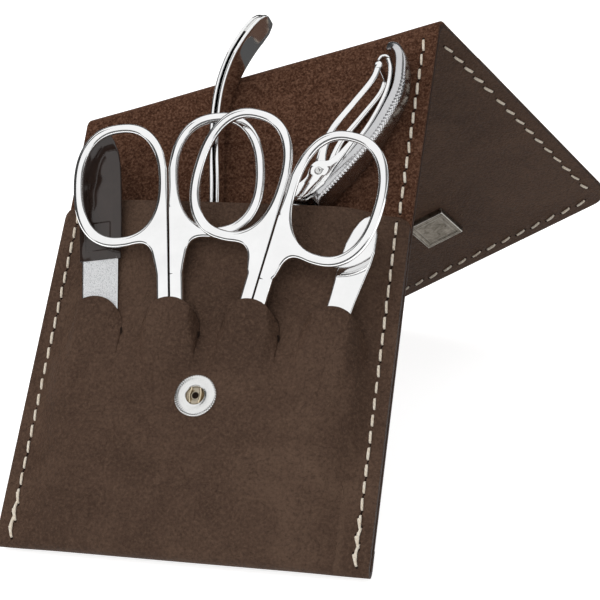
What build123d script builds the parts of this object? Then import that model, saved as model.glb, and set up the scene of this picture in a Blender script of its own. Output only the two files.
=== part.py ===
"""Manicure set case standing open as a tent, with its six tools in place.

Built in the case's own frame: u (X) across, v (Y) up the body, n (Z) out of the front.
At the end everything is leaned back until the bottom fold and the flap's left corner are level.
"""
from build123d import *
from math import atan2, cos, degrees, hypot, radians, sin, tan
import os

os.makedirs("parts", exist_ok=True)

# ---------------------------------------------------------------- driving dimensions, mm
CASE_W = 88.0  # width at the bottom fold
MOUTH_W = 85.0  # width from the pocket's mouth to the flap's end
PANEL_H = 84.0  # height of the front panel
SHEET_L = 222.0  # flat length from the bottom fold to the flap's end
RIDGE_LEFT, RIDGE_RIGHT = 107.5, 135.5  # where the slanted fold meets the left and right edges
FOLD = 102.0  # how far the flap is folded back, degrees
RIDGE_R = 2.5  # middle radius of the fold
T_FRONT, T_OUT, T_LIN = 1.4, 1.2, 0.8  # front panel, outer leather, suede lining
POCKET = 5.2  # pocket depth behind the middle of the front panel
MARGIN = 6.0  # flat stitched margin
FLOOR_V = 3.0  # solid leather at the bottom fold
CORNER_R = 3.0  # flap's corners
HOOD = 25.0  # depth of the flap's spine when it is laid over the tools
SLIT_R, SLIT_V, SLIT_PITCH, SLIT_U0 = 7.0, 51.8, 19.0, 16.3
STITCH = (2.9, 0.8, 0.5)  # length, width, height of a stitch
STITCH_INSET = 3.2
STITCH_PITCH_BODY, STITCH_PITCH_FLAP = 3.75, 4.6
SNAP_U, SNAP_V, SNAP_R = 44.0, 36.7, 5.0
STUD_FROM_END = 21.5  # stud and badge, from the flap's end
BADGE = 11.2  # side of the badge

# ---------------------------------------------------------------- derived
N_SUEDE = -(T_FRONT + POCKET)
N_MID = N_SUEDE - (T_OUT + T_LIN) / 2
N_LEATHER = N_SUEDE - T_LIN  # border between lining and outer leather
N_BACK = N_LEATHER - T_OUT
N_EDGE = N_SUEDE + T_FRONT  # outer face of the pinched margin
U_L = (CASE_W - MOUTH_W) / 2
U_R = CASE_W - U_L
ALPHA = atan2(RIDGE_RIGHT - RIDGE_LEFT, MOUTH_W)
TH = radians(FOLD)
ARC = RIDGE_R * TH  # length of the bent strip
V_START = -ARC / 2 / cos(ALPHA)  # from the fold's middle line to where the bend starts, along v
V_END = ARC / 2 / cos(ALPHA)
V1 = RIDGE_RIGHT + V_END + 3.0  # first soft crease
V2 = V1 + HOOD  # second soft crease
STUD_V = SHEET_L - STUD_FROM_END
MID_U = CASE_W / 2


def edge_u(v):
    """Left edge of the case at height v."""
    return U_L * min(v / PANEL_H, 1.0)


def slab(points, n0, n1):
    return extrude(Pos(0, 0, n0) * make_face(Polyline(*points, close=True)), n1 - n0)


def band(points, widths):
    """Flat strip along a smooth centre line, with its width at each point."""
    left, right = [], []
    for i, (p, w) in enumerate(zip(points, widths)):
        a, b = points[max(i - 1, 0)], points[min(i + 1, len(points) - 1)]
        dx, dy = b[0] - a[0], b[1] - a[1]
        k = w / 2 / hypot(dx, dy)
        left.append((p[0] - dy * k, p[1] + dx * k))
        right.append((p[0] + dy * k, p[1] - dx * k))
    side = Line if len(points) == 2 else Spline
    edges = [side(*left), Line(left[-1], right[-1]), side(*right[::-1]), Line(right[0], left[0])]
    return make_face(edges)


def thick(face, z0, z1):
    return extrude(Pos(0, 0, z0) * face, z1 - z0)


def cyl(r, x, y, z0, z1):
    return Pos(x, y, z0) * Cylinder(r, z1 - z0, align=(Align.CENTER, Align.CENTER, Align.MIN))


def one(shape):
    """The shape as one clean solid."""
    solids = shape.solids()
    return max(solids, key=lambda s: s.volume) if len(solids) > 1 else solids[0]


def tool_plane(u, v, n, tilt, incline):
    """Local y along the tool, local x to the right, local z out of the front."""
    t, i = radians(tilt), radians(incline)
    x_axis = Vector(cos(t), -sin(t), 0)
    y_axis = Vector(sin(t) * cos(i), cos(t) * cos(i), sin(i))
    return Plane(origin=(u, v, n), x_dir=x_axis, z_dir=x_axis.cross(y_axis))


def in_slit(slit, off_centre, n, tilt, incline, half):
    """A tool's slit, place (u, v, n), tilt, lean out of the front and half depth."""
    return slit, SLIT_U0 + slit * SLIT_PITCH + off_centre, SLIT_V + TOOL_RISE, n, tilt, incline, half


TOOL_RISE = 5.2  # from the slits' ends up to the tools' origins
TOOLS = {
    "file": in_slit(0, 0.8, 0.3, -8.7, 4.6, 0.35),
    "nail": in_slit(1, -0.5, 1.15, -8.3, 8.0, 1.2),
    "cuticle": in_slit(2, 0.1, 2.1, 12.8, 12.9, 1.2),
    "pusher": in_slit(3, 1.0, 0.6, 12.1, 4.6, 0.45),
}
PLACE = {k: tool_plane(*v[1:6]).location for k, v in TOOLS.items()}

nodes = {}
sets = {}


def add(body, **parts):
    for name, shape in parts.items():
        nodes[name] = shape
        sets.setdefault(body, []).append(name)


# ---------------------------------------------------------------- outer leather of the case
def section(v, bulge, inner):
    """Cross-section of the pocket at height v: the front leather's outside, or the space behind."""
    a, b = edge_u(v), CASE_W - edge_u(v)
    top = N_EDGE + bulge * (0 - N_EDGE)
    if inner:
        lo, m, top = N_SUEDE, MARGIN + 0.8, top - T_FRONT
        base = [(a + m, lo), (b - m, lo)]
    else:
        lo, m = N_EDGE, MARGIN
        base = [(a + m, lo), (a, lo), (a, N_SUEDE), (b, N_SUEDE), (b, lo), (b - m, lo)]
    rise = top - lo
    shape = [(2.5, 0.30), (5.0, 0.74), (8.5, 0.95), (13.0, 0.995)]
    left = [(a + m + x, lo + k * rise) for x, k in shape]
    hump = [(b - m - x, lo + k * rise) for x, k in shape] + [((a + b) / 2, top)] + left[::-1]
    pts = [base[-1], *hump, base[0]]
    ground = Polyline(*[(x, v, z) for x, z in base])
    return make_face([ground.edges(), Spline(*[(x, v, z) for x, z in pts])])


LEVELS = [(0.0, 0.18), (9.0, 0.66), (24.0, 0.95), (50.0, 1.0), (PANEL_H, 1.0)]


def pillow(inner):
    levels = [(FLOOR_V, 0.36)] + LEVELS[1:] if inner else LEVELS
    return loft([section(v, b, inner) for v, b in levels])


def scoop(key, wall):
    """The room a tool takes under its slit's tongue; with a wall round it, the tongue's outside."""
    slit, u, v, n, tilt, incline, half = TOOLS[key]
    su, t = SLIT_U0 + slit * SLIT_PITCH, tan(radians(tilt))
    rings = []
    for dv, wide, drop in [(9, 8.5, 0), (0, 8.5, 0), (-14, 7.4, 0), (-26, 5.6, 0.8), (-31, 0.8, 1.6)]:
        depth = n + (SLIT_V + dv - v) * tan(radians(incline)) + half + T_FRONT + 0.25
        rz = max(depth / 0.84, 0.3)
        centre = Plane(origin=(su + dv * t, SLIT_V + dv, -T_FRONT - drop), x_dir=(1, 0, 0), z_dir=(0, -1, 0))
        rings.append(centre * Ellipse(wide + wall, rz + wall))
    shape = Pos(su, SLIT_V, 0) * Cylinder(SLIT_R, 60) + Pos(su, SLIT_V - 25, 0) * Box(60, 50, 60)
    keep = Pos(su, SLIT_V, 15 - (T_FRONT if wall else 6)) * Box(80, 120, 30)
    return loft(rings) & shape & keep


front = pillow(False) - pillow(True)
for key in TOOLS:
    front = front + scoop(key, 1.2)
for key in TOOLS:
    front = front - scoop(key, 0)
for key, wide in [("file", 9.3), ("pusher", 6.2)]:
    front = front - PLACE[key] * Pos(0, -13, 0) * Box(wide, 38, 2 * TOOLS[key][6] + 0.5)

back_edge = [
    (0, 0), (CASE_W, 0), (U_R, PANEL_H), (U_R, RIDGE_RIGHT + V_START),
    (U_L, RIDGE_LEFT + V_START), (U_L, PANEL_H),
]
lining_edge = [(edge_u(FLOOR_V), FLOOR_V), (CASE_W - edge_u(FLOOR_V), FLOOR_V)] + back_edge[2:]
low_edge = [(0, 0), (CASE_W, 0), (CASE_W - edge_u(FLOOR_V), FLOOR_V), (edge_u(FLOOR_V), FLOOR_V)]
bottom_fold = slab(low_edge, N_BACK, N_SUEDE)
back = slab([low_edge[3], low_edge[2]] + back_edge[2:], N_BACK, N_LEATHER)

# ---------------------------------------------------------------- press stud's socket
SEAT, FLANGE = -0.3, -T_FRONT + 0.1
ring = Cylinder(SNAP_R, 1.3, align=(Align.CENTER, Align.CENTER, Align.MIN))
ring = chamfer(ring.edges().group_by(Axis.Z)[-1], 0.4)
ring = Pos(SNAP_U, SNAP_V, SEAT) * ring - cyl(2.1, SNAP_U, SNAP_V, SEAT + 0.35, 3) - cyl(
    1.6, SNAP_U, SNAP_V, SEAT - 1, 3
)
post = cyl(4.2, SNAP_U, SNAP_V, FLANGE - 0.6, FLANGE) + cyl(1.6, SNAP_U, SNAP_V, FLANGE, SEAT + 0.2)
post = post - cyl(1.1, SNAP_U, SNAP_V, -5, 5)
wire = Pos(SNAP_U, SNAP_V, SEAT + 0.6) * Rot(90, 0, 0) * Cylinder(0.25, 2.8)
spring = Pos(1.3, 0, 0) * wire + Pos(-1.3, 0, 0) * wire
seat = cyl(SNAP_R, SNAP_U, SNAP_V, SEAT, 4) + cyl(4.2, SNAP_U, SNAP_V, -6, FLANGE)
seat = seat + cyl(1.6, SNAP_U, SNAP_V, -3, 3)

leather_front = one(one(front - seat) + bottom_fold)
lining_case = slab(lining_edge, N_LEATHER, N_SUEDE)
add("case", leather_front=leather_front, leather_back=back, lining_case=lining_case)
add("case", socket_ring=ring, socket_spring=spring, socket_post=post)

# ---------------------------------------------------------------- flap, made flat, then folded back
E_DIR = Vector(cos(ALPHA), sin(ALPHA), 0)
D_DIR = Vector(-sin(ALPHA), cos(ALPHA), 0)
N_DIR = Vector(0, 0, 1)
START = Vector(U_L, RIDGE_LEFT + V_START, N_MID)
PIVOT = START + D_DIR * (ARC / 2) - N_DIR * (RIDGE_R - ARC / 2 / tan(TH / 2))
SWING = Axis(PIVOT, E_DIR)


def folded(shape):
    return shape.rotate(SWING, -FOLD)


def ridge(n0, n1):
    """The bent strip between the back and the flap, from surface n0 to surface n1."""
    faces, steps = [], 7
    length = MOUTH_W / cos(ALPHA)
    for k in range(steps + 1):
        phi = TH * k / steps
        slip = RIDGE_R * phi * tan(ALPHA)  # the side edges stay straight on the flat sheet
        corners = []
        for along, n in [(0, n0), (length, n0), (length, n1), (0, n1)]:
            r = RIDGE_R + n - N_MID
            centre = START + E_DIR * (along + slip) - N_DIR * RIDGE_R
            corners.append(centre + D_DIR * (r * sin(phi)) + N_DIR * (r * cos(phi)))
        faces.append(make_face(Polyline(*corners, close=True)))
    return loft(faces, ruled=True)


def flap_part(points, n0, n1, round_end=False):
    shape = slab(points, n0, n1)
    if round_end:
        ends = shape.edges().filter_by(Axis.Z).group_by(Axis.Y)[-1]
        shape = fillet(ends, CORNER_R)
    return shape


ROOT = [(U_L, RIDGE_LEFT + V_END), (U_R, RIDGE_RIGHT + V_END), (U_R, V1), (U_L, V1)]
SPINE = [(U_L, V1), (U_R, V1), (U_R, V2), (U_L, V2)]
END = [(U_L, V2), (U_R, V2), (U_R, SHEET_L), (U_L, SHEET_L)]
rivet_hole = cyl(1.5, MID_U, STUD_V, -12, 0)
for body, outline in {"flap_root": ROOT, "flap_spine": SPINE, "flap_end": END}.items():
    for name, n0, n1 in [("leather", N_BACK, N_LEATHER), ("lining", N_LEATHER, N_SUEDE)]:
        shape = flap_part(outline, n0, n1, body == "flap_end")
        if body == "flap_end":
            shape = shape - rivet_hole
        add(body, **{f"{name}_{body}": folded(shape)})
add("case", ridge_leather=ridge(N_BACK, N_LEATHER), ridge_lining=ridge(N_LEATHER, N_SUEDE))

stud = cyl(5.0, MID_U, STUD_V, N_SUEDE, N_SUEDE + 0.8) + cyl(1.7, MID_U, STUD_V, N_SUEDE, N_SUEDE + 2.2)
stud = stud + Pos(MID_U, STUD_V, N_SUEDE + 2.6) * Sphere(2.0) + cyl(
    1.5, MID_U, STUD_V, N_BACK, N_SUEDE
)
plate = Pos(MID_U, STUD_V, N_BACK - 0.7) * Box(BADGE, BADGE, 1.4)
plate = chamfer(plate.faces().sort_by(Axis.Z)[0].edges(), 0.3)
plate = plate - Pos(MID_U, STUD_V, N_BACK - 1.25) * Box(BADGE - 2.4, BADGE - 2.4, 0.5)
add("flap_end", stud=folded(stud), badge=folded(plate))


# ---------------------------------------------------------------- saddle stitching
def stitches(line, faces, slant=4.0):
    """Stitches at each point of line (u, v, direction), on each face (n, sign)."""
    out = []
    for u, v, ang in line:
        for n, sign in faces:
            box = Box(STITCH[0], STITCH[1], STITCH[2])
            out.append(Pos(u, v, n + sign * STITCH[2] / 2) * Rot(0, 0, ang + slant * sign) * box)
    return out


def run(a, b, pitch):
    """Evenly spaced places from a to b."""
    n = max(int(abs(b - a) / pitch), 1)
    return [a + (b - a) * (i + 0.5) / n for i in range(n)]


def side_line(left, v0, v1, pitch):
    out = []
    for v in run(v0, v1, pitch):
        u = edge_u(v) + STITCH_INSET
        out.append((u if left else CASE_W - u, v, 90.0))
    return out


FRONT_FACES, LEAF_FACES = [(N_EDGE, 1), (N_BACK, -1)], [(N_SUEDE, 1), (N_BACK, -1)]
for side, left, top in [("left", True, RIDGE_LEFT), ("right", False, RIDGE_RIGHT)]:
    low = stitches(side_line(left, 2.5, PANEL_H - 1.0, STITCH_PITCH_BODY), FRONT_FACES)
    high = stitches(side_line(left, PANEL_H + 1.0, top + V_START - 2.5, STITCH_PITCH_BODY), LEAF_FACES)
    add("case", **{f"stitching_{side}": Compound(children=low + high)})
for body, v0l, v0r, v1 in [
    ("flap_root", RIDGE_LEFT + V_END + 2, None, V1 - 0.6),
    ("flap_spine", V1 + 0.6, V1 + 0.6, V2 - 0.6),
    ("flap_end", V2 + 0.6, V2 + 0.6, SHEET_L - 6.5),
]:
    line = side_line(True, v0l, v1, STITCH_PITCH_FLAP)
    if v0r:
        line += side_line(False, v0r, v1, STITCH_PITCH_FLAP)
    if body == "flap_end":
        places = run(U_L + 5, U_R - 5, STITCH_PITCH_FLAP)
        line += [(u, SHEET_L - STITCH_INSET, 0.0) for u in places]
    add(body, **{f"stitching_{body}": folded(Compound(children=stitches(line, LEAF_FACES)))})

# ---------------------------------------------------------------- nail file
blade = thick(
    make_face(Polyline((-2.8, 26), (2.8, 26), (2.8, 13), (4.4, 12), (4.2, -24), (0.8, -30), (-0.8, -30),
                       (-4.2, -24), (-4.4, 12), (-2.8, 13), close=True)), -0.35, 0.35)
grip = make_face([
    Polyline((0.0, 11), (5.0, 11), (5.3, 22), (5.0, 34)).edges(),
    Spline((5.0, 34), (3.4, 40.5), (0.0, 44), (-3.4, 40.5), (-5.0, 34)),
    Polyline((-5.0, 34), (-5.3, 22), (-5.0, 11), (0.0, 11)).edges(),
])
grip = thick(grip, -0.75, 0.75)
grip = chamfer(grip.faces().sort_by(Axis.Z)[-1].edges(), 0.25) - blade
grip = grip - Pos(0, 19, 0.75) * Box(8.2, 13, 0.3)
add("file", file_blade=PLACE["file"] * blade, file_handle=PLACE["file"] * grip)


# ---------------------------------------------------------------- scissors
RING_Z, PIV_Y = 0.85, -8.0


def half_scissors(ring_x, ring_y, rx, ry, blade_len, blade_w):
    """Left ring, shank on the left of the middle line, blade crossing to the right."""
    bow = thick(Pos(ring_x, ring_y) * (Ellipse(rx, ry) - Ellipse(rx - 2.2, ry - 2.2)), -RING_Z, RING_Z)
    bow = chamfer(bow.faces().filter_by(Plane.XY).edges(), 0.4)
    web = make_face(Polyline((-0.15, ring_y + 2), (-2.1, ring_y - 2), (-2.4, ring_y - ry + 4),
                             (-6.5, ring_y - ry + 0.6), (-3.6, ring_y - ry - 4), (-0.15, ring_y - ry - 6),
                             close=True))
    web = thick(web, -RING_Z, RING_Z)
    shank = thick(make_face(Polyline((-0.15, ring_y - 4), (-2.0, ring_y - 4), (-3.1, 9), (-3.2, PIV_Y + 4.0),
                                     (-0.15, PIV_Y + 4.0), close=True)), -1.0, 1.0)
    joint = thick(make_face(Polyline((-3.2, PIV_Y + 4.2), (-0.15, PIV_Y + 4.2), (2.6, PIV_Y + 2),
                                     (3.2, PIV_Y), (-2.2, PIV_Y - 3), (-3.4, PIV_Y), close=True)), 0.04, 1.0)
    disc = Pos(0, PIV_Y, 0.04) * Cylinder(3.5, 0.96, align=(Align.CENTER, Align.CENTER, Align.MIN))
    tip = PIV_Y - blade_len
    edge = make_face(Polyline((-2.4, PIV_Y - 1), (3.2, PIV_Y), (blade_w, PIV_Y - 6), (0.9, tip), (0.1, tip),
                              (-1.6, PIV_Y - 7), close=True))
    return one(bow + web + shank + joint + disc + thick(edge, 0.04, 1.0))


def scissors(name, ring_x, ring_y, rx, ry, blade_len, blade_w):
    left = half_scissors(ring_x, ring_y, rx, ry, blade_len, blade_w)
    right = left.rotate(Axis.Y, 180)
    pin = cyl(1.2, 0, PIV_Y, -1.0, 1.0)
    screw = pin + cyl(2.0, 0, PIV_Y, 1.0, 1.2) + cyl(1.9, 0, PIV_Y, -1.2, -1.0)
    screw = screw - Pos(0, PIV_Y, 1.2) * Rot(0, 0, 35) * Box(5, 0.5, 0.3)
    fixed = left - cyl(1.2, 0, PIV_Y, -2, 2)
    moving = right - cyl(1.25, 0, PIV_Y, -2, 2)
    place = PLACE[name]
    add(f"{name}_scissors", **{f"{name}_half_fixed": place * fixed, f"{name}_screw": place * screw})
    add(f"{name}_scissors_moving", **{f"{name}_half_moving": place * moving})


scissors("nail", -11.75, 30.4, 11.6, 15.0, 26.0, 2.6)
scissors("cuticle", -11.85, 29.0, 11.7, 15.6, 22.0, 2.1)

# ---------------------------------------------------------------- cuticle pusher
bar = make_face([
    Spline((2.4, -28), (2.7, -8), (3.0, 4), (3.7, 13), (3.2, 20), (0.0, 24), (-3.2, 20), (-3.7, 13),
           (-3.0, 4), (-2.7, -8), (-2.4, -28)),
    Polyline((-2.4, -28), (-1.2, -30), (1.2, -30), (2.4, -28)).edges(),
])
bar = thick(bar, -0.45, 0.45)
bar = chamfer(bar.faces().sort_by(Axis.Z)[-1].edges(), 0.2)
add("pusher", cuticle_pusher=PLACE["pusher"] * bar)

# ---------------------------------------------------------------- tweezers
def from_mouth(*points):
    """Points given by u and by height above the pocket's mouth."""
    return [(u, PANEL_H + rise) for u, rise in points]


TW = from_mouth((43.6, -42.0), (42.4, -29.0), (41.0, -14.0), (39.4, 3.0), (37.4, 17.0), (37.0, 27.0),
                (38.2, 35.0), (41.0, 42.5), (44.6, 49.0))
# height above the mouth, back and front of the tweezers there
TW_DEPTH = [(-42.0, -5.3, -3.9), (-14.0, -6.0, -2.6), (2.0, -6.3, -1.8), (24.0, -6.3, 0.6),
            (40.0, -6.3, 2.0), (47.0, -5.6, 1.4), (49.6, -4.2, 0.2)]


def tw_depth_cut():
    """Side view of the tweezers, as a prism across the case."""
    low = [(20, PANEL_H + rise, back) for rise, back, _ in TW_DEPTH]
    high = [(20, PANEL_H + rise, front) for rise, _, front in TW_DEPTH]
    return extrude(make_face(Polyline(*low, *high[::-1], close=True)), amount=45, dir=(1, 0, 0))


def shifted(points, by):
    out = []
    for i, p in enumerate(points):
        a, b = points[max(i - 1, 0)], points[min(i + 1, len(points) - 1)]
        dx, dy = b[0] - a[0], b[1] - a[1]
        k = by / hypot(dx, dy)
        out.append((p[0] - dy * k, p[1] + dx * k))
    return out


side_view = tw_depth_cut()
arms = [one(thick(band(shifted(TW, by), [1.0] * len(TW)), -8, 4) & side_view) for by in (0.72, -0.72)]
weld = thick(band(from_mouth((41.6, 43.6), (42.9, 45.9)) + TW[-1:], [0.8] * 3), -8, 4) & side_view
add("tweezers", tweezers_arm_left=arms[0], tweezers_weld=one(weld - arms[0] - arms[1]))
add("tweezers_right", tweezers_arm_right=arms[1])

# ---------------------------------------------------------------- folding clipper
PIN = (65.4, PANEL_H + 7.4)
CL_FRONT, CL_BACK = 2.2, -6.3
SHELL = from_mouth((66.2, 2.8), (71.4, 10.2), (76.4, 18.2), (79.1, 24.5), (80.6, 29.8), (80.6, 35.0),
                   (80.0, 38.3), (78.5, 40.4), (76.6, 40.9))
STRIP = from_mouth((66.9, 6.6), (70.4, 12.3), (74.4, 19.0), (76.9, 25.0), (78.2, 30.0), (78.2, 34.6),
                   (77.3, 37.4))
RAIL = [PIN] + from_mouth((65.3, 12.5), (66.9, 18.6), (70.8, 25.0), (74.6, 31.2), (75.6, 35.0))
BAR = RAIL[-1]
JAW_TIP = (53.6, PANEL_H - 6.6)


def lofted_jaw(side, z0, z1):
    """Pointed jaw from the pivot down into the pocket, its cutting edge on one side."""
    x, y = PIN
    dx, dy = JAW_TIP[0] - x, JAW_TIP[1] - y
    k = side * 2.3 / hypot(dx, dy)
    heel = (x - dy * k, y + dx * k)
    belly = (x + 0.55 * dx - dy * k * 0.8, y + 0.55 * dy + dx * k * 0.8)
    flat = (x + dy * k * 0.35, y - dx * k * 0.35)
    lip = (JAW_TIP[0] - dy * k * 0.2, JAW_TIP[1] + dx * k * 0.2)
    return thick(make_face(Polyline(heel, belly, lip, JAW_TIP, flat, close=True)), z0, z1)


shell = thick(band(SHELL, [1.2] * len(SHELL)), CL_BACK, CL_FRONT)
bridge = from_mouth((66.6, 4.2), (68.6, 6.2), (68.0, 8.4), (65.9, 5.2))
bridge = make_face(Polyline(*bridge, close=True))
bridge = thick(bridge, -3.8, 1.1)
strip = thick(band(STRIP, [1.0] * len(STRIP)), -3.8, 1.1) + cyl(2.3, *PIN, -3.8, 1.1) + bridge
strip = one(strip + lofted_jaw(1, -3.8, -2.0) - cyl(0.9, *PIN, -9, 9) - shell)
jaw = one(lofted_jaw(-1, -5.3, -3.9) + cyl(2.2, *PIN, -5.3, -3.9) - cyl(0.85, *PIN, -9, 9))
rail = band(RAIL, [3.2, 2.0, 1.5, 1.5, 1.4, 1.4]) + Pos(*PIN) * Circle(2.1) + Pos(*BAR) * Circle(1.1)
rail = rail - Pos(*PIN) * Circle(0.85)
rails = thick(rail, 1.3, CL_FRONT) + thick(rail, CL_BACK, -5.4) + cyl(0.7, *BAR, -5.5, 1.4)
pin = cyl(0.85, *PIN, CL_BACK, CL_FRONT + 0.35)
hook = band(from_mouth((77.3, 37.9), (76.4, 38.7), (75.2, 38.5), (74.6, 37.4)), [0.8, 0.8, 0.8, 0.6])
hook = thick(hook, -2.4, -0.4) - strip
add("clipper", clipper_shell=shell, clipper_strip=strip, clipper_hook=one(hook))
add("clipper_lever", clipper_rails=one(rails), clipper_jaw=jaw, clipper_pin=pin)

# ---------------------------------------------------------------- lean back until it stands level
def lowest(names, tilt):
    return min(nodes[n].rotate(Axis.X, tilt).bounding_box().min.Z for n in names)


lo, hi = 20.0, 70.0
for _ in range(22):
    mid = (lo + hi) / 2
    corner_up = lowest(["leather_flap_end", "lining_flap_end"], mid) - lowest(["leather_front"], mid)
    lo, hi = (mid, hi) if corner_up < 0 else (lo, mid)
TURN = (lo + hi) / 2  # degrees from lying on its back to standing

standing = {name: shape.rotate(Axis.X, TURN) for name, shape in nodes.items()}
boxes = [shape.bounding_box() for shape in standing.values()]
low = [min(tuple(b.min)[k] for b in boxes) for k in range(3)]
high = [max(tuple(b.max)[k] for b in boxes) for k in range(3)]
SHIFT = Pos(-(low[0] + high[0]) / 2, -(low[1] + high[1]) / 2, -low[2])

for name, shape in standing.items():
    solids = (SHIFT * shape).solids()
    assert all(s.is_valid and s.volume > 0 for s in solids), name
    out = solids[0] if len(solids) == 1 else Compound(children=list(solids))
    export_step(out, f"parts/{name}.step")
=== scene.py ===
"""Manicure set case, dressed in the frame of its CAD.

Lengths are in millimetres in the case's own frame: u across, v up the body, n out of the front.
to_row() turns such points into the row frame, in metres.
"""
import math
import bpy
import numpy as np
from mathutils import Matrix, Quaternion, Vector
from mathutils.geometry import tessellate_polygon


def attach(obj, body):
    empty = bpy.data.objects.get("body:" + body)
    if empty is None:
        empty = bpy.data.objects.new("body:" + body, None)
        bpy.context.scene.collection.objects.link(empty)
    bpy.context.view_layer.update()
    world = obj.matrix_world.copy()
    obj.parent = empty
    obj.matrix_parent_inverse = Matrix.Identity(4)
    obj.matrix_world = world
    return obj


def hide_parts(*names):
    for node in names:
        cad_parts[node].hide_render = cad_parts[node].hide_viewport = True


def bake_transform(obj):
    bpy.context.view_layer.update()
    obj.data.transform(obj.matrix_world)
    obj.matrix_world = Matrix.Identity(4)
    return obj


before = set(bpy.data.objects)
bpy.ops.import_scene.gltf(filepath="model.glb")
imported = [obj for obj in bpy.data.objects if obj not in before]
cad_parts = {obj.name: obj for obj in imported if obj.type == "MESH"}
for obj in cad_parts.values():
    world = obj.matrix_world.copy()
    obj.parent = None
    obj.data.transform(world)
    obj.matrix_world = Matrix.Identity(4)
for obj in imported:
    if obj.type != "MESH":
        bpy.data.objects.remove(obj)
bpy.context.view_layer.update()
rng = np.random.default_rng(11)

# ---------------------------------------------------------------- main sizes, the same as the CAD's
ORIGIN = np.array([-0.058388, -0.078129, 0.005847])
LEAN = math.radians(47.164108)
V_ROW = np.array([0.0, math.cos(LEAN), math.sin(LEAN)])
N_ROW = np.array([0.0, -math.sin(LEAN), math.cos(LEAN)])

CASE_W = 88.0               # width at the bottom
MOUTH_W = 85.0              # width from the top of the front panel upwards
PANEL_H = 84.0              # height of the front panel
SHEET_L = 222.0             # flat length from the bottom fold to the flap's end
U_L = 1.5                   # left and right edges above the front panel
U_R = 86.5
RIDGE_LEFT = 107.5          # height of the ridge at the left and right edges
RIDGE_RIGHT = 135.5
RIDGE_TURN = math.radians(102.0)
RIDGE_R = 2.5
HOOD = 25.0                 # from the first crease to the second
FLAP_CORNER = 5.0

N_EDGE = -5.2               # outside of the front panel along its stitching
N_SUEDE = -6.6              # suede side of the lining
N_LEATHER = -7.4            # where lining and leather meet
N_MID = -7.6                # layer that keeps its length in the ridge's bend
N_BACK = -8.6               # outside of the back

SLITS = [16.3, 35.3, 54.3, 73.3]
SLIT_R = 7.0
SLIT_V = 51.8
SNAP = (44.0, 36.7)
STUD_V = SHEET_L - 21.5

SLOPE = math.atan2(RIDGE_RIGHT - RIDGE_LEFT, MOUTH_W)
COS_A = math.cos(SLOPE)
SIN_A = math.sin(SLOPE)
ARC = RIDGE_R * RIDGE_TURN
V_HALF = ARC / 2 / COS_A    # half the ridge's bend, measured along v
V1 = RIDGE_RIGHT + V_HALF + 3.0
V2 = V1 + HOOD
ALONG = np.array([COS_A, SIN_A, 0])
ACROSS = np.array([-SIN_A, COS_A, 0])
Z_DIR = np.array([0, 0, 1.0])
START = np.array([U_L, RIDGE_LEFT - V_HALF, N_MID])

# each tool in its slit: u, v, n of its middle, tilt, lean out, half its depth, half the lip's flat width
TOOLS = {
    "file": (17.1, 57.0, 0.3, -8.7, 4.6, 0.35, 4.6),
    "nail": (34.8, 57.0, 1.15, -8.3, 8.0, 1.2, 5.8),
    "cuticle": (54.4, 57.0, 2.1, 12.8, 12.9, 1.2, 5.8),
    "pusher": (74.3, 57.0, 0.6, 12.1, 4.6, 0.45, 5.2),
}


def to_row(p):
    p = np.asarray(p, float) / 1000
    return ORIGIN + p[..., :1] * [1, 0, 0] + p[..., 1:2] * V_ROW + p[..., 2:3] * N_ROW


def smooth(x, start=0.0, end=1.0):
    """Soft step from 0 at start to 1 at end."""
    t = np.clip((np.asarray(x, float) - start) / (end - start), 0, 1)
    return t * t * (3 - 2 * t)


def signed_power(x, power):
    return np.sign(x) * np.abs(x) ** power


def turn_angles(count):
    return np.linspace(0, 2 * math.pi, count, endpoint=False)


# ---------------------------------------------------------------- meshes, each a pair (verts, faces)
def add_object(name, points, faces):
    """Adds an object from points in the row frame."""
    data = bpy.data.meshes.new(name)
    data.from_pydata(np.asarray(points, float).tolist(), [], [list(map(int, face)) for face in faces])
    data.update()
    data.validate()
    data.polygons.foreach_set("use_smooth", np.ones(len(data.polygons), bool))
    ob = bpy.data.objects.new(name, data)
    bpy.context.scene.collection.objects.link(ob)
    return ob


def make(name, mesh, mats, *nodes, body=None, face_mats=None, bevel=0.0, segments=2, sharp=40.0, flat=False):
    """Adds a piece of the object from a mesh in the case frame, for these CAD nodes."""
    ob = add_object(name, to_row(mesh[0]), mesh[1])
    for mat in mats:
        ob.data.materials.append(mat)
    if face_mats is not None:
        ob.data.polygons.foreach_set("material_index", np.asarray(face_mats, np.int32))
    if bevel:
        modifier = ob.modifiers.new("bevel", "BEVEL")
        modifier.width = bevel / 1000
        modifier.segments = segments
        modifier.limit_method = "ANGLE"
        modifier.angle_limit = math.radians(sharp)
        modifier.harden_normals = False
    if bevel or flat:
        # broad flat faces keep their own direction, so that they mirror evenly
        modifier = ob.modifiers.new("normals", "WEIGHTED_NORMAL")
        modifier.keep_sharp = True
    if nodes:
        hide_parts(*nodes)
    if body:
        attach(ob, body)
    return ob


def bake(ob):
    """Turns the object's modifiers into mesh."""
    depsgraph = bpy.context.evaluated_depsgraph_get()
    data = bpy.data.meshes.new_from_object(ob.evaluated_get(depsgraph))
    ob.modifiers.clear()
    ob.data = data


def grid_faces(rows, columns, base=0, flip=False):
    faces = []
    for j in range(rows - 1):
        for i in range(columns - 1):
            a = base + j * columns + i
            face = (a, a + 1, a + columns + 1, a + columns)
            faces.append(face[::-1] if flip else face)
    return faces


def ring_faces(rings, m, base=0, capped=True):
    """Faces between rings of m points, one after the other, and over the first and last ring."""
    faces = []
    for j in range(rings - 1):
        for i in range(m):
            a = base + j * m + i
            b = base + j * m + (i + 1) % m
            faces.append((a, b, b + m, a + m))
    if capped:
        last = base + (rings - 1) * m
        faces += [tuple(range(base, base + m))[::-1], tuple(range(last, last + m))]
    return faces


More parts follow.
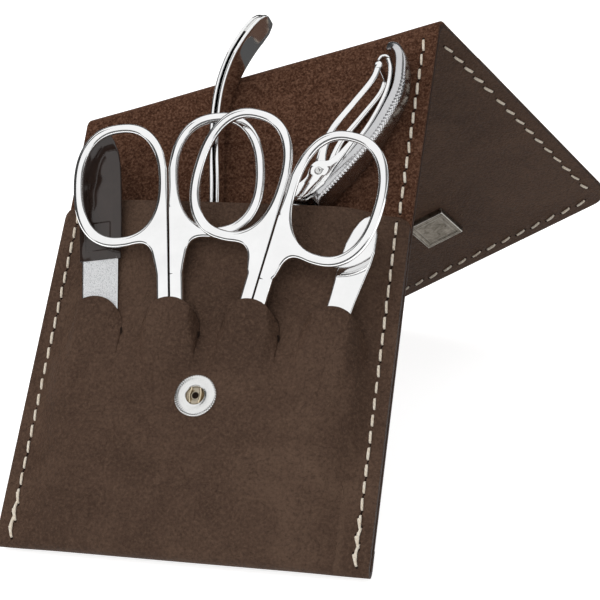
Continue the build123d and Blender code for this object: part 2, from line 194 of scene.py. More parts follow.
def slab(top, low):
    """Closed slab between two grids of points (rows, columns, 3)."""
    rows, columns = top.shape[:2]
    below = rows * columns
    rim = list(range(columns)) + [j * columns + columns - 1 for j in range(1, rows)]
    rim += [(rows - 1) * columns + i for i in range(columns - 2, -1, -1)]
    rim += [j * columns for j in range(rows - 2, 0, -1)]
    faces = grid_faces(rows, columns) + grid_faces(rows, columns, below, True)
    for a, b in zip(rim, rim[1:] + rim[:1]):
        faces.append((b, a, a + below, b + below))
    return np.concatenate([top.reshape(-1, 3), low.reshape(-1, 3)]), faces


def join(*meshes):
    verts, faces, base = [], [], 0
    for part_verts, part_faces in meshes:
        verts.append(part_verts)
        faces += [tuple(i + base for i in face) for face in part_faces]
        base += len(part_verts)
    return np.concatenate(verts), faces


def lathe(profile, m=48, centre=(0, 0)):
    """Turned part round the n axis from (radius, n) points, closed at both ends."""
    angle = turn_angles(m)
    rings = [np.c_[centre[0] + r * np.cos(angle), centre[1] + r * np.sin(angle), np.full(m, z)]
             for r, z in profile]
    return np.concatenate(rings), ring_faces(len(profile), m)


def path(points, step):
    """Smooth curve (Catmull-Rom) through points: even points, their tangents and distances."""
    p = np.asarray(points, float)
    p = np.r_[[2 * p[0] - p[1]], p, [2 * p[-1] - p[-2]]]
    t = np.linspace(0, 1, 20, endpoint=False)[:, None]
    pieces = []
    for a, b, c, d in zip(p[:-3], p[1:-2], p[2:-1], p[3:]):
        square = (2 * a - 5 * b + 4 * c - d) * t ** 2
        cube = (3 * b - a - 3 * c + d) * t ** 3
        pieces.append(0.5 * (2 * b + (c - a) * t + square + cube))
    curve = np.concatenate(pieces + [p[-2:-1]])
    walked = np.r_[0, np.cumsum(np.linalg.norm(np.diff(curve, axis=0), axis=1))]
    distance = np.linspace(0, walked[-1], max(int(walked[-1] / step), 6))
    line = np.stack([np.interp(distance, walked, column) for column in curve.T], axis=1)
    tangent = np.gradient(line, axis=0)
    return line, tangent / np.linalg.norm(tangent, axis=1)[:, None], distance


def bar(line, tangent, width, n_low, n_high, power=6.0, m=32):
    """Bar along a line in the u, v plane. Its section is a rounded box from n_low to n_high.

    width: one width, or several that are spread evenly along the line.
    """
    count = len(line)
    widths = np.atleast_1d(width)
    half_w = np.interp(np.linspace(0, 1, count), np.linspace(0, 1, len(widths)), widths) / 2
    middle = (n_low + n_high) / 2 + np.zeros(count)
    half_n = (n_high - n_low) / 2 + np.zeros(count)
    angle = turn_angles(m)
    x = half_w[:, None] * signed_power(np.cos(angle), 2 / power)
    n = middle[:, None] + half_n[:, None] * signed_power(np.sin(angle), 2 / power)
    side = np.c_[-tangent[:, 1], tangent[:, 0]]
    plane = line[:, None] + side[:, None] * x[..., None]
    return np.concatenate([plane, n[..., None]], axis=2).reshape(-1, 3), ring_faces(count, m)


def tapered(ys, half_width, top, low=None, columns=41):
    """Closed bar along y. top and low give heights from (x / half width, y); without low it is even."""
    q = np.sin(np.linspace(-1, 1, columns) * math.pi / 2)
    upper, lower = [], []
    for y in ys:
        x = q * half_width(y)
        z = top(q, y)
        upper.append(np.c_[x, np.full(columns, y), z])
        lower.append(np.c_[x, np.full(columns, y), low(q, y) if low else -z])
    return slab(np.array(upper), np.array(lower))


# ---------------------------------------------------------------- flat parts from outlines
def field_grid(x0, x1, y0, y1, step):
    xs = np.arange(x0, x1, step)
    ys = np.arange(y0, y1, step)
    return xs, ys, *np.meshgrid(xs, ys)


def inside_of(gx, gy, outline):
    """Distance from grid points to a closed outline, negative inside."""
    outline = np.asarray(outline, float)
    best = np.full(gx.shape, 1e9)
    inside = np.zeros(gx.shape, bool)
    for (x0, y0), (x1, y1) in zip(outline, np.roll(outline, -1, axis=0)):
        dx = x1 - x0
        dy = y1 - y0
        t = np.clip(((gx - x0) * dx + (gy - y0) * dy) / (dx * dx + dy * dy + 1e-12), 0, 1)
        best = np.minimum(best, (gx - x0 - t * dx) ** 2 + (gy - y0 - t * dy) ** 2)
        if y0 != y1:
            inside ^= ((y0 > gy) != (y1 > gy)) & (gx < dx * (gy - y0) / dy + x0)
    return np.where(inside, -1, 1) * np.sqrt(best)


def union(a, b, fillet):
    """Union of two distance fields with a fillet."""
    h = np.clip(0.5 + 0.5 * (b - a) / fillet, 0, 1)
    return b + (a - b) * h - fillet * h * (1 - h)


def contours(field, xs, ys):
    """Closed outlines of the places where the field (rows ys, columns xs) is negative."""
    def crossing(j, i, axis):
        a = field[j, i]
        b = field[j, i + 1] if axis == 0 else field[j + 1, i]
        t = a / (a - b)
        if axis == 0:
            return xs[i] + t * (xs[i + 1] - xs[i]), ys[j]
        return xs[i], ys[j] + t * (ys[j + 1] - ys[j])

    # for each pattern of negative corners, the cell's sides that the outline enters and leaves by
    table = {1: "bl", 2: "rb", 3: "rl", 4: "tr", 5: "br tl", 6: "tb", 7: "tl", 8: "lt", 9: "bt", 10: "lb rt",
             11: "rt", 12: "lr", 13: "br", 14: "lb"}
    neg = field < 0
    pattern = neg[:-1, :-1] * 1 + neg[:-1, 1:] * 2 + neg[1:, 1:] * 4 + neg[1:, :-1] * 8
    links = {}
    for j, i in zip(*np.nonzero((pattern > 0) & (pattern < 15))):
        side = {"b": (j, i, 0), "t": (j + 1, i, 0), "l": (j, i, 1), "r": (j, i + 1, 1)}
        for enter, leave in table[int(pattern[j, i])].split():
            links[side[enter]] = side[leave]
    loops = []
    while links:
        first = key = next(iter(links))
        loop = []
        while key in links:
            loop.append(crossing(*key))
            key = links.pop(key)
            if key == first:
                break
        loops.append(np.array(loop))
    return [loop for loop in loops if len(loop) > 12]


def area(loop):
    x, y = loop.T
    return 0.5 * float(np.sum(x * np.roll(y, -1) - y * np.roll(x, -1)))


def even(loop, step, passes):
    """Evenly spaced points along a closed outline, after some smoothing passes."""
    for _ in range(passes):
        loop = 0.5 * loop + 0.25 * (np.roll(loop, 1, axis=0) + np.roll(loop, -1, axis=0))
    closed = np.r_[loop, loop[:1]]
    walked = np.r_[0, np.cumsum(np.linalg.norm(np.diff(closed, axis=0), axis=1))]
    t = np.linspace(0, walked[-1], max(int(walked[-1] / step), 12), endpoint=False)
    return np.c_[np.interp(t, walked, closed[:, 0]), np.interp(t, walked, closed[:, 1])]


def outlines(field, xs, ys, step=0.25, passes=2):
    return [even(loop, step, passes) for loop in contours(field, xs, ys)]


def plate(loops, z0, z1, reach, depth=None, steps=3):
    """Flat part between z0 and z1 with rounded edges; its largest outline is the outer one.

    reach: how far the rounding reaches in, a value or a function of x and y. depth: how far down.
    """
    middle = (z0 + z1) / 2
    half = (z1 - z0) / 2
    angles = np.r_[np.linspace(-math.pi / 2, 0, steps + 1), np.linspace(0, math.pi / 2, steps + 1)]
    signs = np.repeat([-1.0, 1.0], steps + 1)
    verts, faces, rims = [], [], []
    for k, loop in enumerate(sorted(loops, key=lambda item: -abs(area(item)))):
        if (area(loop) > 0) != (k == 0):
            loop = loop[::-1]
        m = len(loop)
        base = sum(map(len, verts))
        along = np.roll(loop, -1, axis=0) - np.roll(loop, 1, axis=0)
        along /= np.linalg.norm(along, axis=1)[:, None] + 1e-12
        outward = np.c_[along[:, 1], -along[:, 0]]
        r = reach(*loop.T) if callable(reach) else np.full(m, reach)
        down = np.minimum(r if depth is None else depth, half) + np.zeros(m)
        for angle, sign in zip(angles, signs):
            edge = loop - outward * (r * (1 - math.cos(angle)))[:, None]
            verts.append(np.c_[edge, middle + sign * (half - down) + down * math.sin(angle)])
        faces += ring_faces(len(angles), m, base, capped=False)
        last = base + (len(angles) - 1) * m
        rims.append((range(base, base + m), range(last, last + m)))
    verts = np.concatenate(verts)
    for which, upwards in ((1, True), (0, False)):
        rings = [rim[which] for rim in rims]
        ids = [i for ring in rings for i in ring]
        for triangle in tessellate_polygon([[Vector((*verts[i][:2], 0)) for i in ring] for ring in rings]):
            face = tuple(ids[t] for t in triangle)
            a, b, c = verts[list(face)]
            left_turn = (b[0] - a[0]) * (c[1] - a[1]) - (b[1] - a[1]) * (c[0] - a[0]) > 0
            faces.append(face if left_turn == upwards else face[::-1])
    return verts, faces


# ---------------------------------------------------------------- materials
class Nodes:
    """Builds the node tree of a material or world. Its methods give back output sockets."""

    def __init__(self, owner):
        owner.use_nodes = True
        self.owner = owner
        self.tree = owner.node_tree

    def add(self, kind, **values):
        node = self.tree.nodes.new("ShaderNode" + kind)
        for key, value in values.items():
            if key in node.inputs:
                node.inputs[key].default_value = value
            else:
                setattr(node, key, value)
        return node

    def feed(self, socket, value):
        """Puts a number, a colour or another node's output on a socket."""
        if isinstance(value, (int, float)):
            socket.default_value = value
        elif isinstance(value, tuple):
            socket.default_value = (*value, 1)
        elif value is not None:
            self.tree.links.new(value, socket)

    def noise(self, scale, detail, rough=0.55, distort=0.0):
        node = self.add("TexNoise", Scale=scale, Detail=detail, Roughness=rough, Distortion=distort)
        self.feed(node.inputs["Vector"], self.add("TexCoord").outputs["Object"])
        return node.outputs["Fac"]

    def voronoi(self, scale, feature="F1"):
        node = self.add("TexVoronoi", Scale=scale, feature=feature)
        self.feed(node.inputs["Vector"], self.add("TexCoord").outputs["Object"])
        return node.outputs["Distance"]

    def edges(self, low, high, start, end):
        """Goes from low to high where the surface turns from hollow to raised."""
        return self.fit(self.add("NewGeometry").outputs["Pointiness"], low, high, start, end)

    def ramp(self, factor, *stops):
        node = self.add("ValToRGB")
        elements = node.color_ramp.elements
        while len(elements) < len(stops):
            elements.new(0.5)
        for element, (position, colour) in zip(elements, stops):
            element.position = position
            element.color = (*colour, 1)
        self.feed(node.inputs["Fac"], factor)
        return node.outputs["Color"]

    def fit(self, factor, low, high, start=0.0, end=1.0):
        """Goes from low to high while the factor goes from start to end."""
        node = self.add("MapRange")
        names = ("Value", "To Min", "To Max", "From Min", "From Max")
        for name, value in zip(names, (factor, low, high, start, end)):
            self.feed(node.inputs[name], value)
        return node.outputs["Result"]

    def math(self, operation, *values):
        node = self.add("Math", operation=operation)
        for socket, value in zip(node.inputs, values):
            self.feed(socket, value)
        return node.outputs[0]

    def total(self, first, *others):
        """Sum of outputs, each given with its weight."""
        result = self.math("MULTIPLY", *first)
        for output, weight in others:
            result = self.math("MULTIPLY_ADD", output, weight, result)
        return result

    def mix(self, factor, a, b):
        node = self.add("Mix", data_type="RGBA")
        for index, value in ((0, factor), (6, a), (7, b)):
            self.feed(node.inputs[index], value)
        return node.outputs[2]

    def bump(self, height, strength, distance, normal=None):
        node = self.add("Bump", Strength=strength, Distance=distance)
        self.feed(node.inputs["Height"], height)
        self.feed(node.inputs["Normal"], normal)
        return node.outputs["Normal"]

    def seen(self):
        """1 for rays from the camera, off gloss and through glass, otherwise 0."""
        rays = self.add("LightPath").outputs
        total = self.math("ADD", rays["Is Camera Ray"], rays["Is Glossy Ray"])
        return self.math("MINIMUM", self.math("ADD", total, rays["Is Transmission Ray"]), 1.0)

    def finish(self, **values):
        shader = self.tree.nodes["Principled BSDF"]
        for key, value in values.items():
            self.feed(shader.inputs[key.replace("_", " ")], value)
        return self.owner


def new_material(name):
    return Nodes(bpy.data.materials.new(name))


def leather_material(name, dark, mid, light):
    m = new_material(name)
    clouds = m.noise(42, 4, 0.6, 0.8)
    patches = m.noise(170, 5, 0.6, 0.6)
    grain = m.noise(1500, 5, 0.7)
    folds = m.noise(105, 3, 0.5, 2.4)
    lines = m.fit(m.math("ABSOLUTE", m.math("SUBTRACT", folds, 0.5)), 1.0, 0.0, 0.0, 0.030)
    base = m.ramp(clouds, (0.18, dark), (0.50, mid), (0.88, light))
    base = m.mix(m.fit(patches, 0.0, 0.6, 0.36, 0.72), base, mid)
    base = m.mix(m.fit(grain, 0.0, 0.70, 0.49, 0.70), base, light)
    base = m.mix(m.fit(grain, 0.75, 0.0, 0.30, 0.48), base, dark)
    base = m.mix(m.math("MULTIPLY", lines, 0.16), base, dark)
    base = m.mix(m.edges(0.0, 0.30, 0.53, 0.62), base, light)
    cells = m.fit(m.voronoi(1150, "DISTANCE_TO_EDGE"), 0, 1, 0, 0.3)
    relief = m.total((grain, 0.55), (cells, 0.30), (m.voronoi(2100), 0.20), (lines, -0.35))
    waves = m.math("MULTIPLY_ADD", patches, 0.35, clouds)
    normal = m.bump(waves, 0.35, 0.0014, m.bump(relief, 0.85, 0.00030))
    rough = m.fit(grain, 0.50, 0.70, 0.3, 0.7)
    return m.finish(Base_Color=base, Roughness=rough, Normal=normal, Specular_IOR_Level=0.14)


def suede_material(name, dark, mid, light):
    m = new_material(name)
    nap = m.noise(640, 3, 0.6, 0.4)
    strokes = m.noise(75, 4, 0.6, 1.6)
    fibre = m.noise(1750, 3, 0.7, 0.2)
    base = m.ramp(nap, (0.25, dark), (0.50, mid), (0.80, light))
    base = m.mix(m.fit(strokes, 0.0, 0.35, 0.50, 0.76), base, light)
    base = m.mix(m.fit(strokes, 0.35, 0.0, 0.26, 0.48), base, dark)
    base = m.mix(m.fit(m.noise(24, 3, 0.5), 0.25, 0.7, 0.35, 0.7), base, mid)
    base = m.mix(m.fit(fibre, 0.0, 0.85, 0.50, 0.66), base, light)
    base = m.mix(m.fit(fibre, 0.85, 0.0, 0.34, 0.48), base, dark)
    normal = m.bump(m.total((fibre, 0.6), (nap, 0.6)), 0.8, 0.0003)
    return m.finish(Base_Color=base, Roughness=0.95, Normal=normal, Specular_IOR_Level=0.08,
                    Sheen_Weight=0.18, Sheen_Roughness=0.4, Sheen_Tint=(0.75, 0.5, 0.4))


def metal_material(name, colour, rough, grain=0.0, waviness=0.0):
    m = new_material(name)
    tone = m.ramp(m.noise(160, 4, 0.6), (0.3, tuple(0.94 * c for c in colour)), (0.7, colour))
    roughness = m.fit(m.noise(420, 5, 0.6), rough * 0.8, rough * 1.35, 0.3, 0.7)
    normal = None
    if waviness:
        normal = m.bump(m.noise(55, 2, 0.5), waviness, 0.0004)
    if grain:
        normal = m.bump(m.noise(2500, 3, 0.6), grain, 0.00012, normal)
    return m.finish(Base_Color=tone, Metallic=1.0, Roughness=roughness, Normal=normal)


def thread_material():
    """Waxed thread; its attribute "twist" is the angle that winds round every stitch."""
    m = new_material("thread_waxed")
    strand = m.math("SINE", m.add("Attribute", attribute_name="twist").outputs["Fac"])
    dirt = m.noise(700, 4, 0.6)
    base = m.ramp(dirt, (0.20, (0.68, 0.55, 0.42)), (0.42, (0.90, 0.79, 0.64)), (0.8, (0.96, 0.90, 0.79)))
    # painted shade: the thread turns darker brown in the grooves of its twist, where the strand wave is low
    base = m.mix(m.fit(strand, 0.22, 0.0, -1.0, 0.0), base, (0.46, 0.33, 0.22))
    normal = m.bump(m.total((strand, 0.6), (m.noise(5200, 3, 0.7), 0.35)), 0.6, 0.00015)
    return m.finish(Base_Color=base, Roughness=0.72, Normal=normal, Sheen_Weight=0.25)


# painted shade: near-black colour for flush discs and strips that stand in for the shade inside needle holes,
# slit cuts and the stud's centre hole
def hole_shade_material():
    m = new_material("needle_hole_shade")
    base = m.ramp(m.noise(2500, 3), (0.3, (0.010, 0.006, 0.005)), (0.7, (0.024, 0.014, 0.010)))
    return m.finish(Base_Color=base, Roughness=0.9, Specular_IOR_Level=0.1)


def grit_material():
    m = new_material("file_grit")
    grit = m.voronoi(5200)
    base = m.ramp(grit, (0.15, (0.94, 0.94, 0.95)), (0.5, (0.80, 0.81, 0.82)), (0.85, (0.50, 0.51, 0.52)))
    normal = m.bump(m.math("MULTIPLY_ADD", m.noise(7000, 3, 0.7), 0.5, grit), 0.55, 0.00012)
    return m.finish(Base_Color=base, Metallic=0.5, Roughness=0.42, Normal=normal)


def plastic_material():
    m = new_material("handle_plastic")
    tone = m.ramp(m.noise(200, 3), (0.3, (0.022, 0.013, 0.010)), (0.7, (0.034, 0.021, 0.017)))
    rough = m.fit(m.noise(900, 4), 0.07, 0.12, 0.3, 0.7)
    normal = m.bump(m.noise(62, 2), 0.8, 0.0016)
    return m.finish(Base_Color=tone, Roughness=rough, Specular_IOR_Level=0.60, Normal=normal)


def antique_material():
    m = new_material("antique_metal")
    patina = m.noise(420, 5, 0.65, 0.8)
    base = m.ramp(patina, (0.3, (0.07, 0.06, 0.045)), (0.7, (0.26, 0.235, 0.20)))
    base = m.mix(m.edges(0.0, 1.0, 0.52, 0.60), base, (0.86, 0.85, 0.80))
    rough = m.fit(patina, 0.24, 0.46, 0.3, 0.7)
    return m.finish(Base_Color=base, Metallic=1.0, Roughness=rough, Normal=m.bump(patina, 0.2, 0.0002))


LEATHER = leather_material("leather_smooth", (0.040, 0.021, 0.013), (0.084, 0.048, 0.032),
                           (0.150, 0.092, 0.062))
CUT_EDGE = leather_material("leather_edge", (0.020, 0.011, 0.008), (0.038, 0.020, 0.014),
                            (0.080, 0.046, 0.032))
SUEDE = suede_material("suede_lining", (0.030, 0.012, 0.007), (0.085, 0.037, 0.021), (0.20, 0.105, 0.068))
THREAD = thread_material()
HOLE_SHADE = hole_shade_material()
CHROME = metal_material("steel_polished", (0.93, 0.93, 0.93), 0.055, waviness=0.05)
CHROME_SOFT = metal_material("steel_satin", (0.80, 0.80, 0.79), 0.17, grain=0.08, waviness=0.04)
KNURLED = metal_material("steel_knurled", (0.60, 0.60, 0.61), 0.2)
FILE_STEEL = metal_material("file_steel", (0.70, 0.71, 0.72), 0.25)
# darker metal for the inside of the stud's well: painted shade of the recess
SOCKET_INSIDE_SHADE = metal_material("socket_inside_shade", (0.46, 0.40, 0.31), 0.3)
SPRING_WIRE = metal_material("socket_spring_wire", (0.80, 0.68, 0.50), 0.2)
GRIT = grit_material()
PLASTIC = plastic_material()
ANTIQUE = antique_material()


# ---------------------------------------------------------------- the leather sheet
def edge_u(v):
    """Left edge of the case; the body narrows up to the top of the front panel."""
    return U_L * np.minimum(np.asarray(v, float) / PANEL_H, 1.0)


def corner(to_end, radius):
    """How far a rounded corner pulls the edge in, at this distance from the end."""
    d = np.clip(radius - np.asarray(to_end, float), 0, radius)
    return radius - np.sqrt(np.maximum(radius ** 2 - d * d, 0))


def sheet(u, s, n):
    """Point of the bent sheet from its flat place (u, s) and its height n."""
    u, s, n = np.broadcast_arrays(*(np.asarray(value, float) for value in (u, s, n)))
    du = u - START[0]
    ds = s - START[1]
    along = du * COS_A + ds * SIN_A
    across = ds * COS_A - du * SIN_A
    bent = np.clip(across, 0, ARC)
    past = across - bent
    phi = bent / RIDGE_R
    r = RIDGE_R + n - N_MID
    d = r * np.sin(phi) + past * np.cos(phi)
    z = r * np.cos(phi) - past * np.sin(phi) - RIDGE_R
    return START + along[..., None] * ALONG + d[..., None] * ACROSS + z[..., None] * Z_DIR


def billow(u, s):
    """Slow unevenness of real leather, zero at the edges and over the body."""
    inner = smooth(u, 2, 14) * (1 - smooth(u, 74, 86))
    upper = smooth(s, 95, 120) * (1 - smooth(s, SHEET_L - 14, SHEET_L))
    return 0.28 * upper * inner * np.sin(u / 15.0 + 0.6) * np.sin(s / 19.0)


# rows of each piece: for the back, steps from its lowest row to the ridge, over it and on to the crease
MID_HOOD = (V1 + V2) / 2
ROUND_END = 1 - np.sin(np.linspace(0, math.pi / 2, 11)[1:])
SHEET_ROWS = {
    "back": np.r_[np.linspace(0, 1, 40), np.linspace(1, 2, 17)[1:], np.linspace(2, 3, 8)[1:]],
    "spine": np.linspace(V1 - 1.5, MID_HOOD, 16),
    "end": np.r_[np.linspace(MID_HOOD, SHEET_L - FLAP_CORNER, 36), SHEET_L - FLAP_CORNER * ROUND_END],
}


def row_heights(part, u):
    """Flat heights s of a piece's rows at u."""
    row = SHEET_ROWS[part][:, None]
    if part != "back":
        return row + 0 * u
    bottom = 3.0
    ridge = RIDGE_LEFT + (u - U_L) * math.tan(SLOPE)
    to_ridge = np.clip(row, 0, 1) * (ridge - V_HALF - bottom)
    over_ridge = np.clip(row - 1, 0, 1) * 2 * V_HALF
    to_crease = np.clip(row - 2, 0, 1) * (V1 - 1.5 - ridge - V_HALF)
    return bottom + to_ridge + over_ridge + to_crease


def sheet_piece(name, part, n_low, n_high, inset, mats, nodes):
    """One piece of the sheet, a slab between two heights."""
    a = np.linspace(0, 1, 61)
    a = a - 0.018 * np.sin(a * 2 * math.pi)
    s = row_heights(part, 44.0 + 0 * a)
    for _ in range(2):
        left = edge_u(s) + corner(SHEET_L - s, FLAP_CORNER) + inset
        u = left + a * (CASE_W - 2 * left)
        s = row_heights(part, u)
    lift = billow(u, s)
    verts, faces = slab(sheet(u, s, n_high + lift), sheet(u, s, n_low + lift))
    rows, columns = s.shape
    skin = 2 * (rows - 1) * (columns - 1)
    # the ends where pieces meet stay open, so that no line shows between them
    open_rows = {"back": [{rows - 1}], "spine": [{0}, {rows - 1}], "end": [{0}]}[part]
    rim = [face for face in faces[skin:]
           if {i % (rows * columns) // columns for i in face} not in open_rows]
    ob = make(name, (verts, faces[:skin] + rim), mats, *nodes, face_mats=[0] * skin + [1] * len(rim),
              bevel=0.28, segments=3, sharp=50)
    bake(ob)
    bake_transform(ob)


ON_RIDGE = 40 * ALONG
RIDGE_BEND = (START + ON_RIDGE,
              sheet(START[0] - SIN_A * ARC + ON_RIDGE[0], START[1] + COS_A * ARC + ON_RIDGE[1], N_MID))
CREASE_1, CREASE_2 = ((sheet(44, v - 1.2, N_SUEDE), sheet(44, v + 1.2, N_SUEDE)) for v in (V1, V2))
for layer, case_node, n_low, n_high, inset, mats in (
        ("leather", "leather_back", N_BACK, N_LEATHER, 0.0, (LEATHER, CUT_EDGE)),
        ("lining", "lining_case", N_LEATHER, N_SUEDE, 0.12, (SUEDE, SUEDE))):
    back_nodes = (case_node, f"ridge_{layer}", f"{layer}_flap_root")
    for part, nodes, bodies, bend in (
            ("back", back_nodes, ("case", "flap_root"), RIDGE_BEND),
            ("spine", (f"{layer}_flap_spine",), ("flap_root", "flap_spine"), CREASE_1),
            ("end", (f"{layer}_flap_end",), ("flap_spine", "flap_end"), CREASE_2)):
        sheet_piece(f"{layer}_{part}_sheet", part, n_low, n_high, inset, mats, nodes)


# ---------------------------------------------------------------- front panel with its slits
def panel_edge(v):
    """Left edge of the front panel, with rounded top corners."""
    return edge_u(v) + corner(PANEL_H - np.asarray(v, float), 3.0)


def bare_panel(u, v):
    """Outer surface of the front panel without what the tools push out."""
    from_edge = np.minimum(u, CASE_W - u) - edge_u(v)
    inner = 1 - np.exp(-(np.maximum(from_edge - 4.6, 0) / 6.4) ** 1.9)
    rise = np.interp(v, [0, 4, 9, 16, 24, 50, 84], [0.10, 0.34, 0.62, 0.84, 0.95, 1.0, 1.0])
    uneven = 0.16 * np.sin(u / 9.0 + v / 23.0) * np.sin(v / 11.0 + 0.7) * inner
    groove = -0.14 * np.exp(-((from_edge - 3.2) / 0.6) ** 2)
    return N_EDGE - N_EDGE * rise * inner + uneven + groove


SNAP_N = float(bare_panel(*SNAP)) + 0.05


def tongue_rise(u, v, bare):
    """How far the lips of the slits stand above the bare panel, over their tools."""
    rise = np.zeros(np.shape(u))
    dv = v - SLIT_V
    reach = np.interp(dv, [-31, -10, -2, 0, 7], [12.0, 11.0, 8.8, 7.9, 5.6])
    for slit, (_, tool_v, tool_n, tilt, lean, half, flat) in zip(SLITS, TOOLS.values()):
        wall = 0.95
        top = tool_n + (v - tool_v) * math.tan(math.radians(lean)) + half + 0.06 + wall
        x = np.abs(u - slit - np.minimum(dv, 0) * math.tan(math.radians(tilt)))
        k = 0.5 + 0.5 * np.cos(math.pi * np.clip((x - flat * 0.8) / (reach - flat * 0.8), 0, 1))
        swell = 0.62 * smooth(-dv, 0.5, 9.0) * np.exp(-(np.maximum(x - 8.0, 0) / 7.0) ** 2)
        more = np.maximum(k, swell)
        k = more + 0.35 * np.minimum(k, swell) * (1 - more)
        k = k * smooth(np.minimum(u, CASE_W - u), 3.0, 8.5)
        lift = 0.35 * np.log1p(np.exp(np.clip((top - bare) / 0.35, -30, 30)))
        rise = np.maximum(rise, k * lift * smooth(dv, -42, -14))
    return rise


def front_n(u, v):
    """Outer surface of the front panel below the slits; it is flat round the press stud."""
    bare = bare_panel(u, v)
    n = bare + tongue_rise(u, v, bare) * (v < SLIT_V + 8)
    near_snap = 1 - smooth(np.hypot(u - SNAP[0], v - SNAP[1]), 5.3, 11)
    return n * (1 - near_snap) + SNAP_N * near_snap


# columns of the panel's mesh: steps in from each edge, and fixed ones that follow the slits' arcs
EDGE_STEPS = np.array([0, 0.13, 0.22, 0.27, 0.31, 0.345, 0.38, 0.415, 0.45, 0.5, 0.6, 0.72, 0.86])
EDGE_COUNT = len(EDGE_STEPS)
FIRST_U = SLITS[0] - SLIT_R
fixed = []
for k, slit in enumerate(SLITS):
    if k:
        fixed.append(np.linspace(SLITS[k - 1] + SLIT_R, slit - SLIT_R, 9)[1:-1])
    fixed.append(slit + SLIT_R * np.sin(np.linspace(-math.pi / 2, math.pi / 2, 33)))
FIXED_U = np.concatenate(fixed)
COLUMNS = len(FIXED_U) + 2 * EDGE_COUNT


def column_u(v):
    """u of every column at height v, which is one height or one for each column."""
    edge = panel_edge(v) + np.zeros(COLUMNS)
    left = edge[:EDGE_COUNT] + EDGE_STEPS * (FIRST_U - edge[:EDGE_COUNT])
    right = edge[-EDGE_COUNT:] + EDGE_STEPS[::-1] * (FIRST_U - edge[-EDGE_COUNT:])
    return np.r_[left, FIXED_U, CASE_W - right]


def row_of_points(u, v, n):
    return np.stack(np.broadcast_arrays(u, v, n), axis=-1)


def panel_mesh():
    """The front panel from its rows, each an outer and an inner one, with the number of skin faces."""
    fold_h = 2.1
    fold_wall = 1.2
    to_slit = np.min(np.abs(column_u(50.0)[:, None] - SLITS), axis=1)
    in_slit = to_slit < SLIT_R - 1e-6
    arch = np.where(in_slit, np.sqrt(np.maximum(SLIT_R ** 2 - to_slit ** 2, 0)), 0)

    lower, upper = [], []
    for v in (6.5, 4.5, 3.0):
        u = column_u(v)
        lower.append((row_of_points(u, v, N_BACK), row_of_points(u, v, N_LEATHER)))
    front = bare_panel(column_u(fold_h), fold_h)
    middle = (front + N_BACK) / 2
    radius = (front - N_BACK) / 2
    for phi in np.linspace(math.pi, 0, 15):
        out = math.cos(phi)
        down = math.sin(phi)
        v = fold_h * (1 - down)
        u = column_u(v)
        lower.append((row_of_points(u, v, middle + radius * out),
                      row_of_points(u, v + fold_wall * down, middle + (radius - fold_wall) * out)))
    for height in np.r_[np.linspace(2.6, 30, 24), np.linspace(30, SLIT_V, 34)[1:]]:
        v = height + arch * smooth(height, 30, SLIT_V)
        u = column_u(v)
        bare = bare_panel(u, v)
        at_lip = smooth(height, SLIT_V - 8, SLIT_V)
        slit_end = 1 - np.clip(arch / 2.6, 0, 1) ** 0.7
        n = bare + (front_n(u, v) - bare) * (1 - at_lip * slit_end)
        wall = 1.2 + 0.2 * smooth(height, 2.5, 8) - 0.25 * at_lip * in_slit
        lower.append((row_of_points(u, v, n), row_of_points(u, v, n - wall)))
    for height in np.linspace(SLIT_V, PANEL_H, 30):
        v = height + arch * (1 - smooth(height, SLIT_V, PANEL_H - 4))
        u = column_u(v)
        n = bare_panel(u, v) - 0.10 * in_slit * (1 - smooth(height, SLIT_V, SLIT_V + 3))
        upper.append((row_of_points(u, v, n), row_of_points(u, v, n - 1.4)))

    # beside the slits, the last row below them and the first row above them are one row
    lower = np.array(lower)
    upper = np.array(upper)
    whole = ~in_slit
    lower[-1][:, whole] = upper[0][:, whole]
    verts = np.concatenate([lower[:, 0], lower[:, 1], upper[:, 0], upper[:, 1]]).reshape(-1, 3)
    low_rows = len(lower)
    high_rows = len(upper)
    low_out = 0
    low_in = low_rows * COLUMNS
    high_out = 2 * low_in
    high_in = high_out + high_rows * COLUMNS
    low_end = low_in - COLUMNS
    high_end = (high_rows - 1) * COLUMNS
    index = np.arange(len(verts))
    shared = np.flatnonzero(whole)
    index[high_out + shared] = low_out + low_end + shared
    index[high_in + shared] = low_in + low_end + shared

    faces = grid_faces(low_rows, COLUMNS, low_out) + grid_faces(low_rows, COLUMNS, low_in, True)
    faces += grid_faces(high_rows, COLUMNS, high_out) + grid_faces(high_rows, COLUMNS, high_in, True)
    skin = len(faces)
    for outer, inner, rows in ((low_out, low_in, low_rows), (high_out, high_in, high_rows)):
        for a in range(0, (rows - 1) * COLUMNS, COLUMNS):
            b = a + COLUMNS
            right = COLUMNS - 1
            faces.append((outer + b, outer + a, inner + a, inner + b))
            faces.append((outer + a + right, outer + b + right, inner + b + right, inner + a + right))
    everywhere = np.arange(COLUMNS - 1)
    at_slits = np.flatnonzero(in_slit[:-1] | in_slit[1:])
    for outer, inner, spans, flip in (
            (low_out, low_in, everywhere, True), (high_out + high_end, high_in + high_end, everywhere, True),
            (low_out + low_end, low_in + low_end, at_slits, False), (high_out, high_in, at_slits, False)):
        for i in spans:
            face = (outer + i, inner + i, inner + i + 1, outer + i + 1)
            faces.append(face[::-1] if flip else face)
    faces = [index[list(face)] for face in faces]
    used = np.unique(np.concatenate(faces))
    place_of = np.zeros(len(verts), int)
    place_of[used] = np.arange(len(used))
    return verts[used], [tuple(place_of[face]) for face in faces], skin


panel_verts, panel_faces, skin = panel_mesh()
make("leather_front_panel", (panel_verts, panel_faces), (LEATHER, CUT_EDGE), "leather_front", body="case",
     face_mats=[0] * skin + [1] * (len(panel_faces) - skin), bevel=0.3, segments=3, sharp=48)


